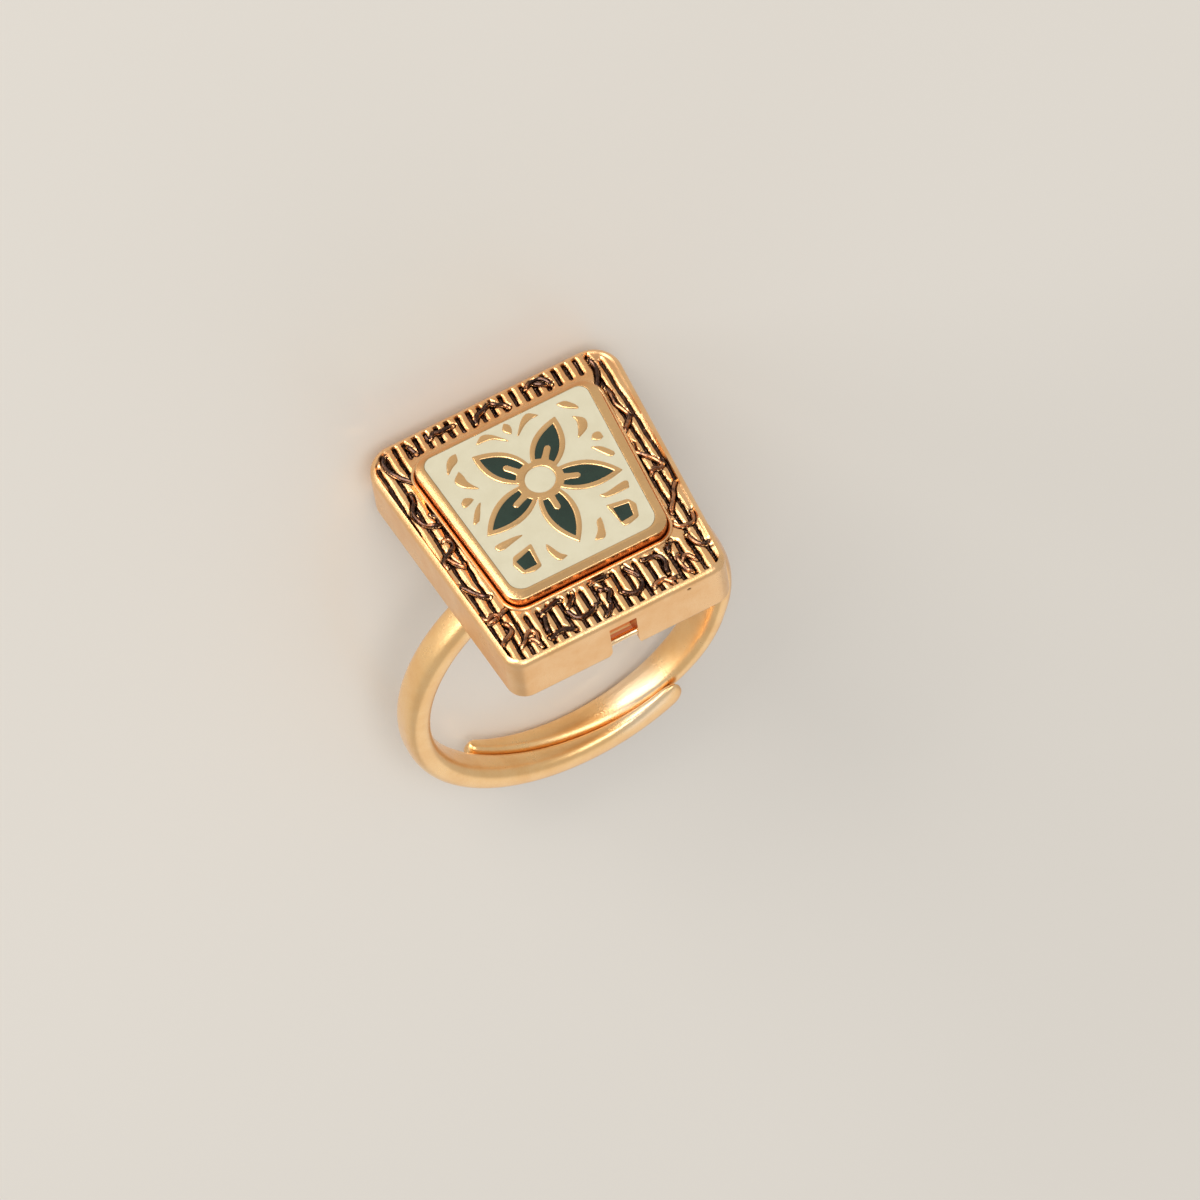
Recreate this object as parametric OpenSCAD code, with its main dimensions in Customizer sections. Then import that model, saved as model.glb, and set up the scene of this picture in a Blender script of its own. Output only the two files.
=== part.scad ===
/* [Bezel] */
// Width of the bezel's front edge
bezel_front_w = 13.28; // [12:0.02:15]
// Width of the bezel's back edge
bezel_back_w = 14.72; // [13:0.02:16]
// Length of the bezel from its front edge to its back edge
bezel_len = 15.97; // [15.5:0.01:16.5]
// Height of the bezel's walls
bezel_h = 3.28; // [3.1:0.02:3.6]
// Radius of the two front corners, seen from above
bezel_front_r = 1.1; // [0.8:0.05:1.5]
// Radius of the two back corners, seen from above
bezel_back_r = 1.65; // [1:0.05:2]
// Radius of the rounded top edge
bezel_edge_r = 0.4; // [0.2:0.05:0.5]
// Height of the thin raised lip round the tile
lip_h = 0.12; // [0.05:0.01:0.2]
// Width of the lip
lip_w = 0.22; // [0.15:0.01:0.3]

/* [Relief] */
// Distance from one cast groove to the next
groove_pitch = 0.643; // [0.6:0.001:0.66]
// Width of a groove
groove_w = 0.28; // [0.2:0.01:0.34]
// Depth of a groove
groove_d = 0.32; // [0.2:0.01:0.4]
// Width of a raised strand
strand_w = 0.26; // [0.2:0.01:0.34]
// How far a strand stands above the bezel's top
strand_rise = 0.08; // [0.04:0.01:0.12]

/* [Notch and pin] */
// Width of the notch in the front wall
notch_w = 1.6; // [1.4:0.02:1.8]
// Depth of the notch's top edge below the bezel's top
notch_top = 0.75; // [0.6:0.05:1]
// How far the notch runs into the bezel
notch_in = 0.9; // [0.8:0.05:1.2]
// Radius of the notch's two lower corners
notch_r = 0.3; // [0.1:0.05:0.4]
// Diameter of the pin across the notch
pin_d = 0.38; // [0.3:0.02:0.44]
// Distance of the pin's axis behind the front wall
pin_in = 0.3; // [0.28:0.02:0.4]
// Depth of the pin's axis below the bezel's top
pin_depth = 2.4; // [2.1:0.02:2.6]

/* [Tile] */
// Width of the tile's front edge
tile_front_w = 9.76; // [9.4:0.02:9.9]
// Width of the tile's back edge
tile_back_w = 10.82; // [10.4:0.02:11]
// Length of the tile
tile_len = 10.72; // [10.4:0.02:10.9]
// Distance of the tile's front edge behind the bezel's front edge
tile_in = 3.18; // [3.1:0.01:3.3]
// Height of the tile's top above the bezel's top
tile_rise = 0.8; // [0.6:0.02:1]
// Depth of the pocket that the tile sits in
pocket_d = 0.75; // [0.5:0.05:1]
// Radius of the tile's corners
tile_r = 1.0; // [0.8:0.05:1.2]
// Radius of the tile's rounded top edge
tile_edge_r = 0.15; // [0.1:0.01:0.25]
// Depth of the cells that hold the enamel
cell_d = 0.35; // [0.25:0.01:0.5]
// Width of the gold rim round the enamel at its front
rim_front = 0.52; // [0.4:0.02:0.6]
// Width of the gold rim at its sides
rim_side = 0.52; // [0.4:0.02:0.6]
// Width of the gold rim at its back
rim_back = 0.35; // [0.3:0.01:0.5]

/* [Band] */
// Radius of the finger hole
finger_r = 8.5; // [8.4:0.02:8.56]
// Outer radius of the front arm
front_arm_r = 10.0; // [9.9:0.02:10.1]
// Outer radius of the front arm's upper part
front_arm_up_r = 11.3; // [11.2:0.05:11.5]
// Outer radius of the back arm's upper part
back_arm_r = 10.4; // [10.34:0.02:10.5]
// Thickness of the back arm
back_arm_t = 1.2; // [1.1:0.02:1.3]
// Radius of the arms' rounded outer edges
arm_edge_r = 0.42; // [0.3:0.02:0.5]
// Gap between the two arms where they pass each other
pass_gap = 0.12; // [0.06:0.01:0.2]

/* [Fits] */
// Gap round the tile and round the base plate
seat_gap = 0.06; // [0.04:0.01:0.1]
// Gap between enamel and metal
enamel_gap = 0.02; // [0.01:0.005:0.04]

/* [Hidden] */
$fn = 64;

gold = [0.9, 0.7, 0.45];
cream = [0.87, 0.84, 0.72];
green = [0.16, 0.25, 0.2];

// Small overlap that keeps a cut clear of the face it passes
e = 0.01;
// Far enough to pass any part of the ring
far = 30;

// The drawing plane: x runs along the bezel's front edge, y from front to back along the
// finger's axis, and z out of the bezel's top, which is at z = 0
front_arm_x = -0.67;
front_arm_depth = 13.85;
back_arm_x = -1.1;
back_arm_depth = 12.9;
front_tip_at = -51;
back_tip_at = -133;
front_arm_y = [6.7, 8.6];
back_arm_y = [6.85, 9.4];
// The slanting plane between the arms: its place at x = 0 and its slope
seam_y = 7.74;
seam_slope = -0.105;

// The base plate lies in a seat under the bezel
plate_wall = 0.9;
plate_depth = [2.58, 3.22];
plate_r = 0.6;
// How deep the pin sits in each side of the notch
pin_seat = 0.3;

// The tile's ornament, in the same plane
flower = [0.1, 9.33];
disc_r = 0.82;
hub_r = 1.2;
// A row for each petal: its direction, and how far its tip is from the flower's centre
petal_row = [[270, 4.55], [202.9, 4.42], [128.7, 4.0], [51.3, 4.0], [337.1, 4.42]];
petal_w = 0.93;
petal_wall = 0.32;
petal_foot = 1.27;
finger_half = 0.2;
mirror_x = 0.06;
// A row for each gold accent on the left: one end, the other end, bulge on each side
accent_row = [
    [[-1.8, 13.0], [-0.24, 12.34], 0.42, -0.12],
    [[-3.02, 13.14], [-4.02, 12.06], 0.2, 0.14],
    [[-3.42, 12.02], [-2.96, 10.42], -0.06, 0.52],
    [[-3.52, 10.04], [-4.22, 10.04], 0.24, 0.26],
    [[-3.28, 9.78], [-4.26, 8.62], 0.12, 0.22],
    [[-2.32, 6.68], [-3.92, 6.62], 0.2, 0.14],
    [[-1.5, 5.62], [-0.86, 4.3], 0.12, 0.3]
];
drop_row = [[0.04, 13.42], [0.04, 12.62], 0.21, 0.21];
// Corners of the left gold block and of the green cell in it
block_out = [[-2.1, 6.14], [-3.58, 5.66], [-3.62, 5.3], [-3.46, 4.5], [-2.8, 4.33], [-2.26, 4.5]];
block_in = [[-2.5, 5.7], [-3.34, 5.4], [-3.2, 4.74], [-2.52, 4.74]];

// The strands of the relief, each a row of points along its middle
side_strand_left = [
    [[-6.25, 15.3], [-6.45, 14.6], [-6.2, 13.8], [-5.6, 13.1]],
    [[-6.1, 12.6], [-6.5, 11.6], [-6.45, 10.9], [-6.2, 10.3], [-5.65, 10.0]],
    [[-5.85, 9.0], [-5.6, 8.5], [-6.2, 8.25], [-6.55, 7.8], [-6.3, 7.3], [-5.7, 7.05]],
    [[-6.5, 6.2], [-6.1, 5.4], [-5.4, 4.7]],
    [[-6.4, 3.8], [-6.15, 3.45], [-5.6, 3.6], [-5.0, 3.55]],
    [[-5.5, 2.6], [-5.6, 1.9], [-6.2, 1.7]]
];
side_strand_right = [
    [[6.0, 15.3], [5.95, 14.4], [5.55, 13.3]],
    [[5.95, 13.2], [5.9, 12.1], [6.2, 10.9], [5.55, 10.2]],
    [[5.55, 9.25], [5.6, 8.5], [6.1, 8.0], [6.4, 7.5]],
    [[5.5, 7.15], [6.0, 7.2], [6.4, 7.4]],
    [[6.4, 6.1], [5.9, 5.2], [5.4, 4.4]],
    [[5.0, 3.9], [5.4, 3.3], [6.1, 3.3], [6.25, 4.0]]
];
front_strand = [
    [[-3.75, 0.6], [-3.7, 2.3], [-2.4, 2.5], [-2.45, 1.2]],
    [[-3.7, 0.7], [-3.0, 1.0], [-2.3, 0.7]],
    [[-2.2, 2.0], [-1.9, 1.4], [-1.5, 1.2], [-0.6, 1.4]],
    [[-0.5, 2.4], [0.1, 1.9], [-0.1, 1.1], [-0.5, 0.5]],
    [[0.8, 1.6], [1.2, 1.1], [2.0, 1.3]],
    [[2.6, 2.3], [3.3, 2.4], [3.7, 1.7], [3.5, 0.8], [2.5, 0.7]],
    [[-5.2, 1.1], [-4.7, 1.7], [-4.3, 0.8]],
    [[4.3, 0.9], [4.6, 1.6], [5.1, 1.2]]
];
back_strand = [
    [[-3.5, 15.0], [-3.1, 15.4], [-2.6, 15.4], [-2.1, 15.1]],
    [[-1.0, 14.8], [-0.5, 15.3], [0.0, 15.3]],
    [[0.1, 15.5], [0.6, 15.1], [1.0, 14.7]],
    [[2.1, 15.2], [2.8, 15.5], [3.3, 15.4], [3.6, 14.9]]
];

// How far the ring leans when it lies down: it rests on the bezel's lower back edge and on
// the back rim of the back arm
rest_dy = bezel_len - (back_arm_y[1] - arm_edge_r);
rest_dz = front_arm_depth + finger_r + back_arm_t - arm_edge_r - bezel_h;
lean = acos(arm_edge_r / norm([rest_dy, rest_dz])) - atan2(rest_dz, rest_dy);
// The ring's box when it lies down gives its place over the origin
low_x = front_arm_x - front_arm_r;
high_x = back_arm_x + back_arm_r;
far_y = cos(lean) * (front_arm_depth + front_arm_r - arm_edge_r)
    - sin(lean) * (front_arm_y[0] + arm_edge_r) + arm_edge_r;
near_y = -cos(lean) * (tile_rise - tile_edge_r) - sin(lean) * (tile_in + tile_len - tile_edge_r)
    - tile_edge_r;
rest_z = cos(lean) * bezel_len + sin(lean) * bezel_h;

// Lays the ring down, with the bezel's top towards -Y
module lay_down()
    translate([(low_x + high_x) / 2, -(far_y + near_y) / 2, rest_z])
        rotate([lean - 90, 0, 180])
            children();

// Points of an arc about a centre
function arc(c, r, a0, a1, n) =
    [for (i = [0:n]) let (a = a0 + (a1 - a0) * i / n) c + r * [cos(a), sin(a)]];

// Points of a shallow arc from p to q, moved out by g; the bulge is to the left of the way
function bow(p, q, bulge, g, n = 8) =
    let (d = q - p, side = [-d[1], d[0]] / norm(d), out = 1.3 * g)
    [for (i = [0:n]) if (g > 0 || (i > 0 && i < n))
        let (t = i / n) p + d * t + side * (bulge * 4 * t * (1 - t) + out)];

// Outline with four rounded corners, wider at the back; grown outwards by g
module plan(front_w, back_w, y0, len, front_r, back_r, g = 0) {
    lean_a = atan2((back_w - front_w) / 2, len);
    fw = front_w / 2 - front_r * (1 + sin(lean_a)) / cos(lean_a);
    bw = back_w / 2 - back_r * (1 - sin(lean_a)) / cos(lean_a);
    fy = y0 + front_r;
    by = y0 + len - back_r;
    polygon(concat(
        arc([fw, fy], front_r + g, -90, -lean_a, 8),
        arc([bw, by], back_r + g, -lean_a, 90, 8),
        arc([-bw, by], back_r + g, 90, 180 + lean_a, 8),
        arc([-fw, fy], front_r + g, 180 + lean_a, 270, 8)
    ));
}

module bezel_plan(g = 0)
    plan(bezel_front_w, bezel_back_w, 0, bezel_len, bezel_front_r, bezel_back_r, g);

module tile_plan(g = 0)
    plan(tile_front_w, tile_back_w, tile_in, tile_len, tile_r, tile_r, g);

// The base plate's outline, inside the bezel's walls
module plate_plan(g = 0)
    plan(bezel_front_w - 2 * plate_wall, bezel_back_w - 2 * plate_wall, plate_wall,
        bezel_len - 2 * plate_wall, plate_r, plate_r, g);

// A shape with two tips between two shallow arcs, grown by g
module leaf(row, g = 0) {
    tip = 2.5 * g * (row[1] - row[0]) / norm(row[1] - row[0]);
    polygon(concat(
        [row[0] - tip], bow(row[0], row[1], row[2], g),
        [row[1] + tip], bow(row[1], row[0], row[3], g)
    ));
}

// A four or more sided block whose corners go out from its middle by g
module block(corners, g = 0) {
    c = [for (k = [0, 1]) (max([for (p = corners) p[k]]) + min([for (p = corners) p[k]])) / 2];
    polygon([for (p = corners) p + (p - c) / norm(p - c) * g * 2]);
}

// Gold outline of a petal, as a leaf from the flower's centre to its tip
module petal_out(row, g = 0)
    translate(flower) rotate(row[0])
        leaf([[0, 0], [row[1], 0], petal_w, petal_w], g);

// Green field of a petal, with the gold finger that runs into it
module petal_in(row, g = 0)
    translate(flower) rotate(row[0]) difference() {
        leaf([[0.3, 0], [row[1] - 0.5, 0], petal_w - petal_wall, petal_w - petal_wall], g);
        circle(petal_foot - g);
        translate([0, -finger_half + g]) square([2.1, 2 * (finger_half - g)]);
        translate([2.1, 0]) circle(finger_half - g);
    }

// Everything on the left and its mirror image on the right
module both_sides() {
    children();
    translate([2 * mirror_x, 0]) mirror([1, 0]) children();
}

// All gold inside the enamel field, grown by g
module gold_pattern(g = 0) {
    translate(flower) circle(hub_r + g);
    for (row = petal_row) petal_out(row, g);
    both_sides() {
        for (row = accent_row) leaf(row, g);
        block(block_out, g);
    }
    leaf(drop_row, g);
}

// The enamel field inside the tile's rim
module field_plan(g = 0)
    plan(tile_front_w - 2 * rim_side + 0.06, tile_back_w - 2 * rim_side - 0.04,
        tile_in + rim_front, tile_len - rim_front - rim_back, 0.85, 0.6, g);

// Enamel in a cell, a little below the gold's top
module enamel()
    translate([0, 0, tile_rise - cell_d + enamel_gap])
        linear_extrude(cell_d - 2 * enamel_gap) children();

// Rounds a straight edge along +x that has material on its -y, -z side
module edge_cut(len, r)
    rotate([90, 0, 90]) translate([0, 0, -len / 2]) linear_extrude(len) difference() {
        translate([-r, -r]) square(far);
        translate([-r, -r]) circle(r);
        translate([-far - r, -far]) square([far, 2 * far]);
    }

// The four rounded top edges of a plan with its top at z
module top_edges(front_w, back_w, y0, len, r, z) {
    lean_a = atan2((back_w - front_w) / 2, len);
    mid = (front_w + back_w) / 4;
    translate([0, y0 + len, z]) edge_cut(back_w + 2, r);
    translate([0, y0, z]) rotate(180) edge_cut(front_w + 2, r);
    translate([mid, y0 + len / 2, z]) rotate(-90 - lean_a) edge_cut(len + 3, r);
    translate([-mid, y0 + len / 2, z]) rotate(90 + lean_a) edge_cut(len + 3, r);
}

// A groove from y0 to y1 at x
module groove(x, y0, y1)
    translate([x - groove_w / 2, y0, -groove_d]) cube([groove_w, y1 - y0, 1]);

// A flat strip along a row of points
function strip_side(pts, w) = [
    for (i = [0:len(pts) - 1])
        let (d = pts[min(i + 1, len(pts) - 1)] - pts[max(i - 1, 0)])
        pts[i] + [-d[1], d[0]] / norm(d) * w
];
module strand(pts) {
    left = strip_side(pts, strand_w / 2);
    right = strip_side(pts, -strand_w / 2);
    n = len(pts);
    translate([0, 0, -groove_d - e]) linear_extrude(groove_d + strand_rise + e)
        polygon([for (i = [0:2 * n - 1]) i < n ? left[i] : right[2 * n - 1 - i]]);
}

// The cast grooves on the four sides of the bezel's top
module grooves() {
    for (k = [0:19]) {
        x = -6.3 + groove_pitch * k;
        if (abs(x) < 5.5) groove(x, 0.25, 2.72);
        if (abs(x) < 5.8) groove(x, 14.5, 15.7);
    }
    // Long grooves beside the tile, one row a side: place and the two ends
    side_groove = [
        [-6.78, 7.5, 14.8], [-6.25, 0.5, 15.5], [-5.6, 0.3, 15.6],
        [6.5, 6.3, 14.8], [5.97, 0.4, 15.5], [5.62, 4.2, 13.2]
    ];
    for (g = side_groove) groove(g[0], g[1], g[2]);
}

module notch() {
    low = bezel_h + 1;
    left = -notch_w / 2;
    right = notch_w / 2;
    // The mouth widens round the two lower corners of the wall
    half = concat(
        [[left, -notch_top]],
        arc([left - notch_r, -bezel_h + notch_r], notch_r, 0, -90, 6),
        [[left - notch_r, -low], [right + notch_r, -low]],
        arc([right + notch_r, -bezel_h + notch_r], notch_r, -90, -180, 6),
        [[right, -notch_top]]
    );
    translate([0, notch_in, 0]) rotate([90, 0, 0]) linear_extrude(notch_in + 1) polygon(half);
}

// A round bar across the notch
module pin_shape(r, len)
    translate([-len / 2, pin_in, -pin_depth]) rotate([0, 90, 0]) cylinder(r = r, h = len);

module bezel() color(gold) lay_down() {
    difference() {
        union() {
            difference() {
                translate([0, 0, -bezel_h]) linear_extrude(bezel_h) bezel_plan();
                top_edges(bezel_front_w, bezel_back_w, 0, bezel_len, bezel_edge_r, 0);
                grooves();
            }
            for (s = side_strand_left) strand(s);
            for (s = side_strand_right) strand(s);
            for (s = front_strand) strand(s);
            for (s = back_strand) strand(s);
            translate([0, 0, -groove_d - e]) linear_extrude(groove_d + lip_h + e)
                tile_plan(seat_gap + lip_w);
        }
        translate([0, 0, -pocket_d - seat_gap]) linear_extrude(far) tile_plan(seat_gap);
        translate([0, 0, -bezel_h - 1]) linear_extrude(bezel_h + 1 - plate_depth[0] + seat_gap)
            plate_plan(seat_gap);
        notch();
        pin_shape(pin_d / 2 + enamel_gap, notch_w + 2 * pin_seat);
    }
}

module cross_pin() color(gold) lay_down()
    pin_shape(pin_d / 2, notch_w + 2 * (pin_seat - enamel_gap));

module tile() color(gold) lay_down() {
    difference() {
        translate([0, 0, -pocket_d]) linear_extrude(pocket_d + tile_rise) tile_plan();
        top_edges(tile_front_w, tile_back_w, tile_in, tile_len, tile_edge_r, tile_rise);
        translate([0, 0, tile_rise - cell_d]) linear_extrude(1) {
            difference() {
                field_plan();
                gold_pattern();
            }
            translate(flower) circle(disc_r);
            for (row = petal_row) petal_in(row);
            both_sides() block(block_in);
        }
    }
}

module enamel_field() color(cream) lay_down() enamel() difference() {
    field_plan(-enamel_gap);
    gold_pattern(enamel_gap);
}

module enamel_disc() color(cream) lay_down() enamel()
    translate(flower) circle(disc_r - enamel_gap);

module enamel_petal(k) color(green) lay_down() enamel() petal_in(petal_row[k], -enamel_gap);

module enamel_block_left() color(green) lay_down() enamel() block(block_in, -enamel_gap);

module enamel_block_right() color(green) lay_down() enamel()
    translate([2 * mirror_x, 0]) mirror([1, 0]) block(block_in, -enamel_gap);

// Section of an arm, rounded at its two outer edges; r is across, y along the finger
module arm_section(r_in, r_out, y) {
    k = arm_edge_r;
    polygon(concat(
        [[r_in, -y[0]], [r_in, -y[1]]],
        arc([r_out - k, -y[1] + k], k, -90, 0, 5),
        arc([r_out - k, -y[0] - k], k, 0, 90, 5)
    ));
}

// Turns an arm's section about the finger's axis from angle a0 to a1
module arm_turn(x, depth, r_in, r_out, y, a0, a1)
    translate([x, 0, -depth]) rotate([90, 0, 0]) rotate([0, 0, a0])
        rotate_extrude(angle = a1 - a0, $fn = 128) arm_section(r_in, r_out, y);

// A short straight stretch of an arm from angle a, running clockwise; it is a hair thinner
// than the arcs at its ends and runs on into both
module arm_straight(x, depth, r_in, r_out, y, a, len) {
    inset = 0.02;
    into = 0.3;
    translate([x, 0, -depth]) rotate([90, 0, 0]) rotate([0, 0, a]) rotate([90, 0, 0])
        translate([0, 0, -into]) linear_extrude(len + 2 * into)
            arm_section(r_in + inset, r_out - inset, [y[0] + inset, y[1] - inset]);
}

// A core inside an arm where two of its stretches meet at angle a
module arm_core(x, depth, r_in, r_out, y, a) {
    inset = 0.2;
    length = 1.2;
    translate([x, 0, -depth]) rotate([90, 0, 0]) rotate([0, 0, a]) rotate([90, 0, 0])
        linear_extrude(length, center = true)
            arm_section(r_in + inset, r_out - inset, [y[0] + inset, y[1] - inset]);
}

// All that lies behind the slanting plane between the arms, moved back by g
module behind_seam(g)
    linear_extrude(2 * far, center = true)
        polygon([[-far, seam_y - far * seam_slope + g], [far, seam_y + far * seam_slope + g],
            [far, far], [-far, far]]);

// All that lies deeper than a depth below the bezel's top
module below(depth)
    translate([-far, -far, -depth - 2 * far]) cube(2 * far);

// The front arm, from under the bezel round the left to its tip
module front_arm() {
    up_x = front_arm_x + front_arm_up_r - front_arm_r;
    up_in = front_arm_up_r - front_arm_r + finger_r;
    arm_turn(up_x, front_arm_depth, up_in, front_arm_up_r, front_arm_y, 78, 180);
    arm_core(front_arm_x, front_arm_depth, finger_r, front_arm_r, front_arm_y, 180);
    difference() {
        arm_turn(front_arm_x, front_arm_depth, finger_r, front_arm_r, front_arm_y,
            180, 360 + front_tip_at);
        intersection() {
            behind_seam(-pass_gap / 2);
            below(front_arm_depth);
        }
    }
}

// The back arm: an upper arc, a straight stretch that touches both arcs, and a lower arc
// that shares the front arm's finger hole and ends behind it
module back_arm() {
    low_r = finger_r + back_arm_t;
    up_in = back_arm_r - back_arm_t;
    way = [front_arm_x - back_arm_x, back_arm_depth - front_arm_depth];
    turn_at = atan2(way[1], way[0]) + acos((back_arm_r - low_r) / norm(way));
    straight = sqrt(norm(way) ^ 2 - (back_arm_r - low_r) ^ 2);
    difference() {
        union() {
            arm_turn(back_arm_x, back_arm_depth, up_in, back_arm_r, back_arm_y, turn_at, 82);
            arm_straight(back_arm_x, back_arm_depth, up_in, back_arm_r, back_arm_y, turn_at,
                straight);
            arm_turn(front_arm_x, front_arm_depth, finger_r, low_r, back_arm_y,
                back_tip_at, turn_at);
        }
        difference() {
            below(back_arm_depth);
            behind_seam(pass_gap / 2);
        }
    }
}

module band() color(gold) lay_down() {
    translate([0, 0, -plate_depth[1]]) linear_extrude(plate_depth[1] - plate_depth[0]) plate_plan();
    intersection() {
        union() {
            front_arm();
            back_arm();
        }
        below(plate_depth[0] + 0.2);
    }
}

bezel();
band();
cross_pin();
tile();
enamel_field();
enamel_disc();
enamel_petal(0);  // enamel_petal_1
enamel_petal(1);  // enamel_petal_2
enamel_petal(2);  // enamel_petal_3
enamel_petal(3);  // enamel_petal_4
enamel_petal(4);  // enamel_petal_5
enamel_block_left();
enamel_block_right();
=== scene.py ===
"""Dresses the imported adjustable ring: cast gold bezel, enamelled tile and open band.

Sizes are millimetres in the bezel's drawing plane: x runs along the bezel's front edge, y from
its front edge to its back edge along the finger's axis, and z out of its top, which is at z = 0.
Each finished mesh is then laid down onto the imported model, in metres.
"""

import logging
from dataclasses import dataclass, field
from enum import Enum
from math import acos, atan2, cos, degrees, hypot, pi, radians, sin, sqrt
from typing import Any, Callable, Iterable, Sequence

import bmesh
import bpy
import numpy as np
from mathutils import Matrix, Vector


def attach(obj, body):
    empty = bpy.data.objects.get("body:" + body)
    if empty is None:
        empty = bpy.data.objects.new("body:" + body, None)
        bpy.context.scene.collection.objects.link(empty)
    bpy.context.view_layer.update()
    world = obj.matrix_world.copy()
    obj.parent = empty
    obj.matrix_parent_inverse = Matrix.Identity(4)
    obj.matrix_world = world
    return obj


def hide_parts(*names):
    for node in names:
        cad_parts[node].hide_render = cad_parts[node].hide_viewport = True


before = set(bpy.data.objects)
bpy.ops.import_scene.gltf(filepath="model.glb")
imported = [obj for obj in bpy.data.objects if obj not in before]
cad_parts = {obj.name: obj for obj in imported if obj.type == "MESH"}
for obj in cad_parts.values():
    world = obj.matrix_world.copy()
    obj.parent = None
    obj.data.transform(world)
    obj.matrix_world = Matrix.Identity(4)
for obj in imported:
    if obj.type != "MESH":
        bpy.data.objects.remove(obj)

log = logging.getLogger("ring")

MM = 0.001
Pair = tuple[float, float]
Triple = tuple[float, float, float]
Colour = Triple
Arc = tuple[float, float, int]
Array = np.ndarray
Mark = Array | float
Socket = bpy.types.NodeSocket

# Listed points of a line: x and y in turn
Line = Sequence[float]


@dataclass(frozen=True)
class Rest:
    """How the ring lies: on the bezel's lower back edge and the back arm's rounded rim."""

    # From the edge to the centre of the rim's rounding, along the finger and in depth
    reach: float = 6.99
    rise: float = 19.85
    rim: float = 0.42
    # Place of the drawing's origin over the floor
    shift: Triple = (-0.685, -7.68287, 16.19368)

    def matrix(self) -> Matrix:
        """Matrix from drawing millimetres to the floor's metres."""
        far = hypot(self.reach, self.rise)
        lean = acos(self.rim / far) - atan2(self.rise, self.reach)
        s, c = sin(lean), cos(lean)
        x, y, z = self.shift
        turn = Matrix(((-1, 0, 0, x), (0, -s, -c, y), (0, -c, s, z), (0, 0, 0, 1 / MM)))
        return turn * MM

    def to_floor(self, point: Sequence[float]) -> Vector:
        """Place on the floor of a point in the drawing plane."""
        return self.matrix() @ Vector(point)

    def turned(self, way: Sequence[float]) -> Vector:
        """Direction over the floor of a direction in the drawing plane."""
        return (self.matrix().to_3x3() @ Vector(way)).normalized()


REST = Rest()


# Shaders


def operator(kind: str, swapped: bool = False) -> Callable[["Value", Any], "Value"]:
    """Makes an operator that adds a Math node of a kind; swapped puts the value on the right."""

    def join(self: "Value", other: Any) -> "Value":
        """The result of the Math node."""
        first, second = (other, self) if swapped else (self, other)
        node = self.board.add("ShaderNodeMath", {"operation": kind}, {0: first, 1: second})
        return Value(self.board, node.outputs[0])

    return join


class Value:
    """A shader number; an expression on values adds its Math nodes."""

    __add__ = operator("ADD")
    __sub__ = operator("SUBTRACT")
    __rsub__ = operator("SUBTRACT", swapped=True)
    __mul__ = operator("MULTIPLY")
    most = operator("MAXIMUM")

    def __init__(self, board: "Board", socket: Socket) -> None:
        """Wraps a socket that carries a number."""
        self.board = board
        self.socket = socket

    def kept(self) -> "Value":
        """The value held within 0 and 1."""
        settings = {"operation": "ADD", "use_clamp": True}
        node = self.board.add("ShaderNodeMath", settings, {0: self, 1: 0.0})
        return Value(self.board, node.outputs[0])

    def rise(self, low: float, high: float) -> "Value":
        """Smooth step from 0 at low to 1 at high."""
        ends = {"Value": self, "From Min": low, "From Max": high}
        node = self.board.add("ShaderNodeMapRange", {"interpolation_type": "SMOOTHSTEP"}, ends)
        return Value(self.board, node.outputs["Result"])


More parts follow.
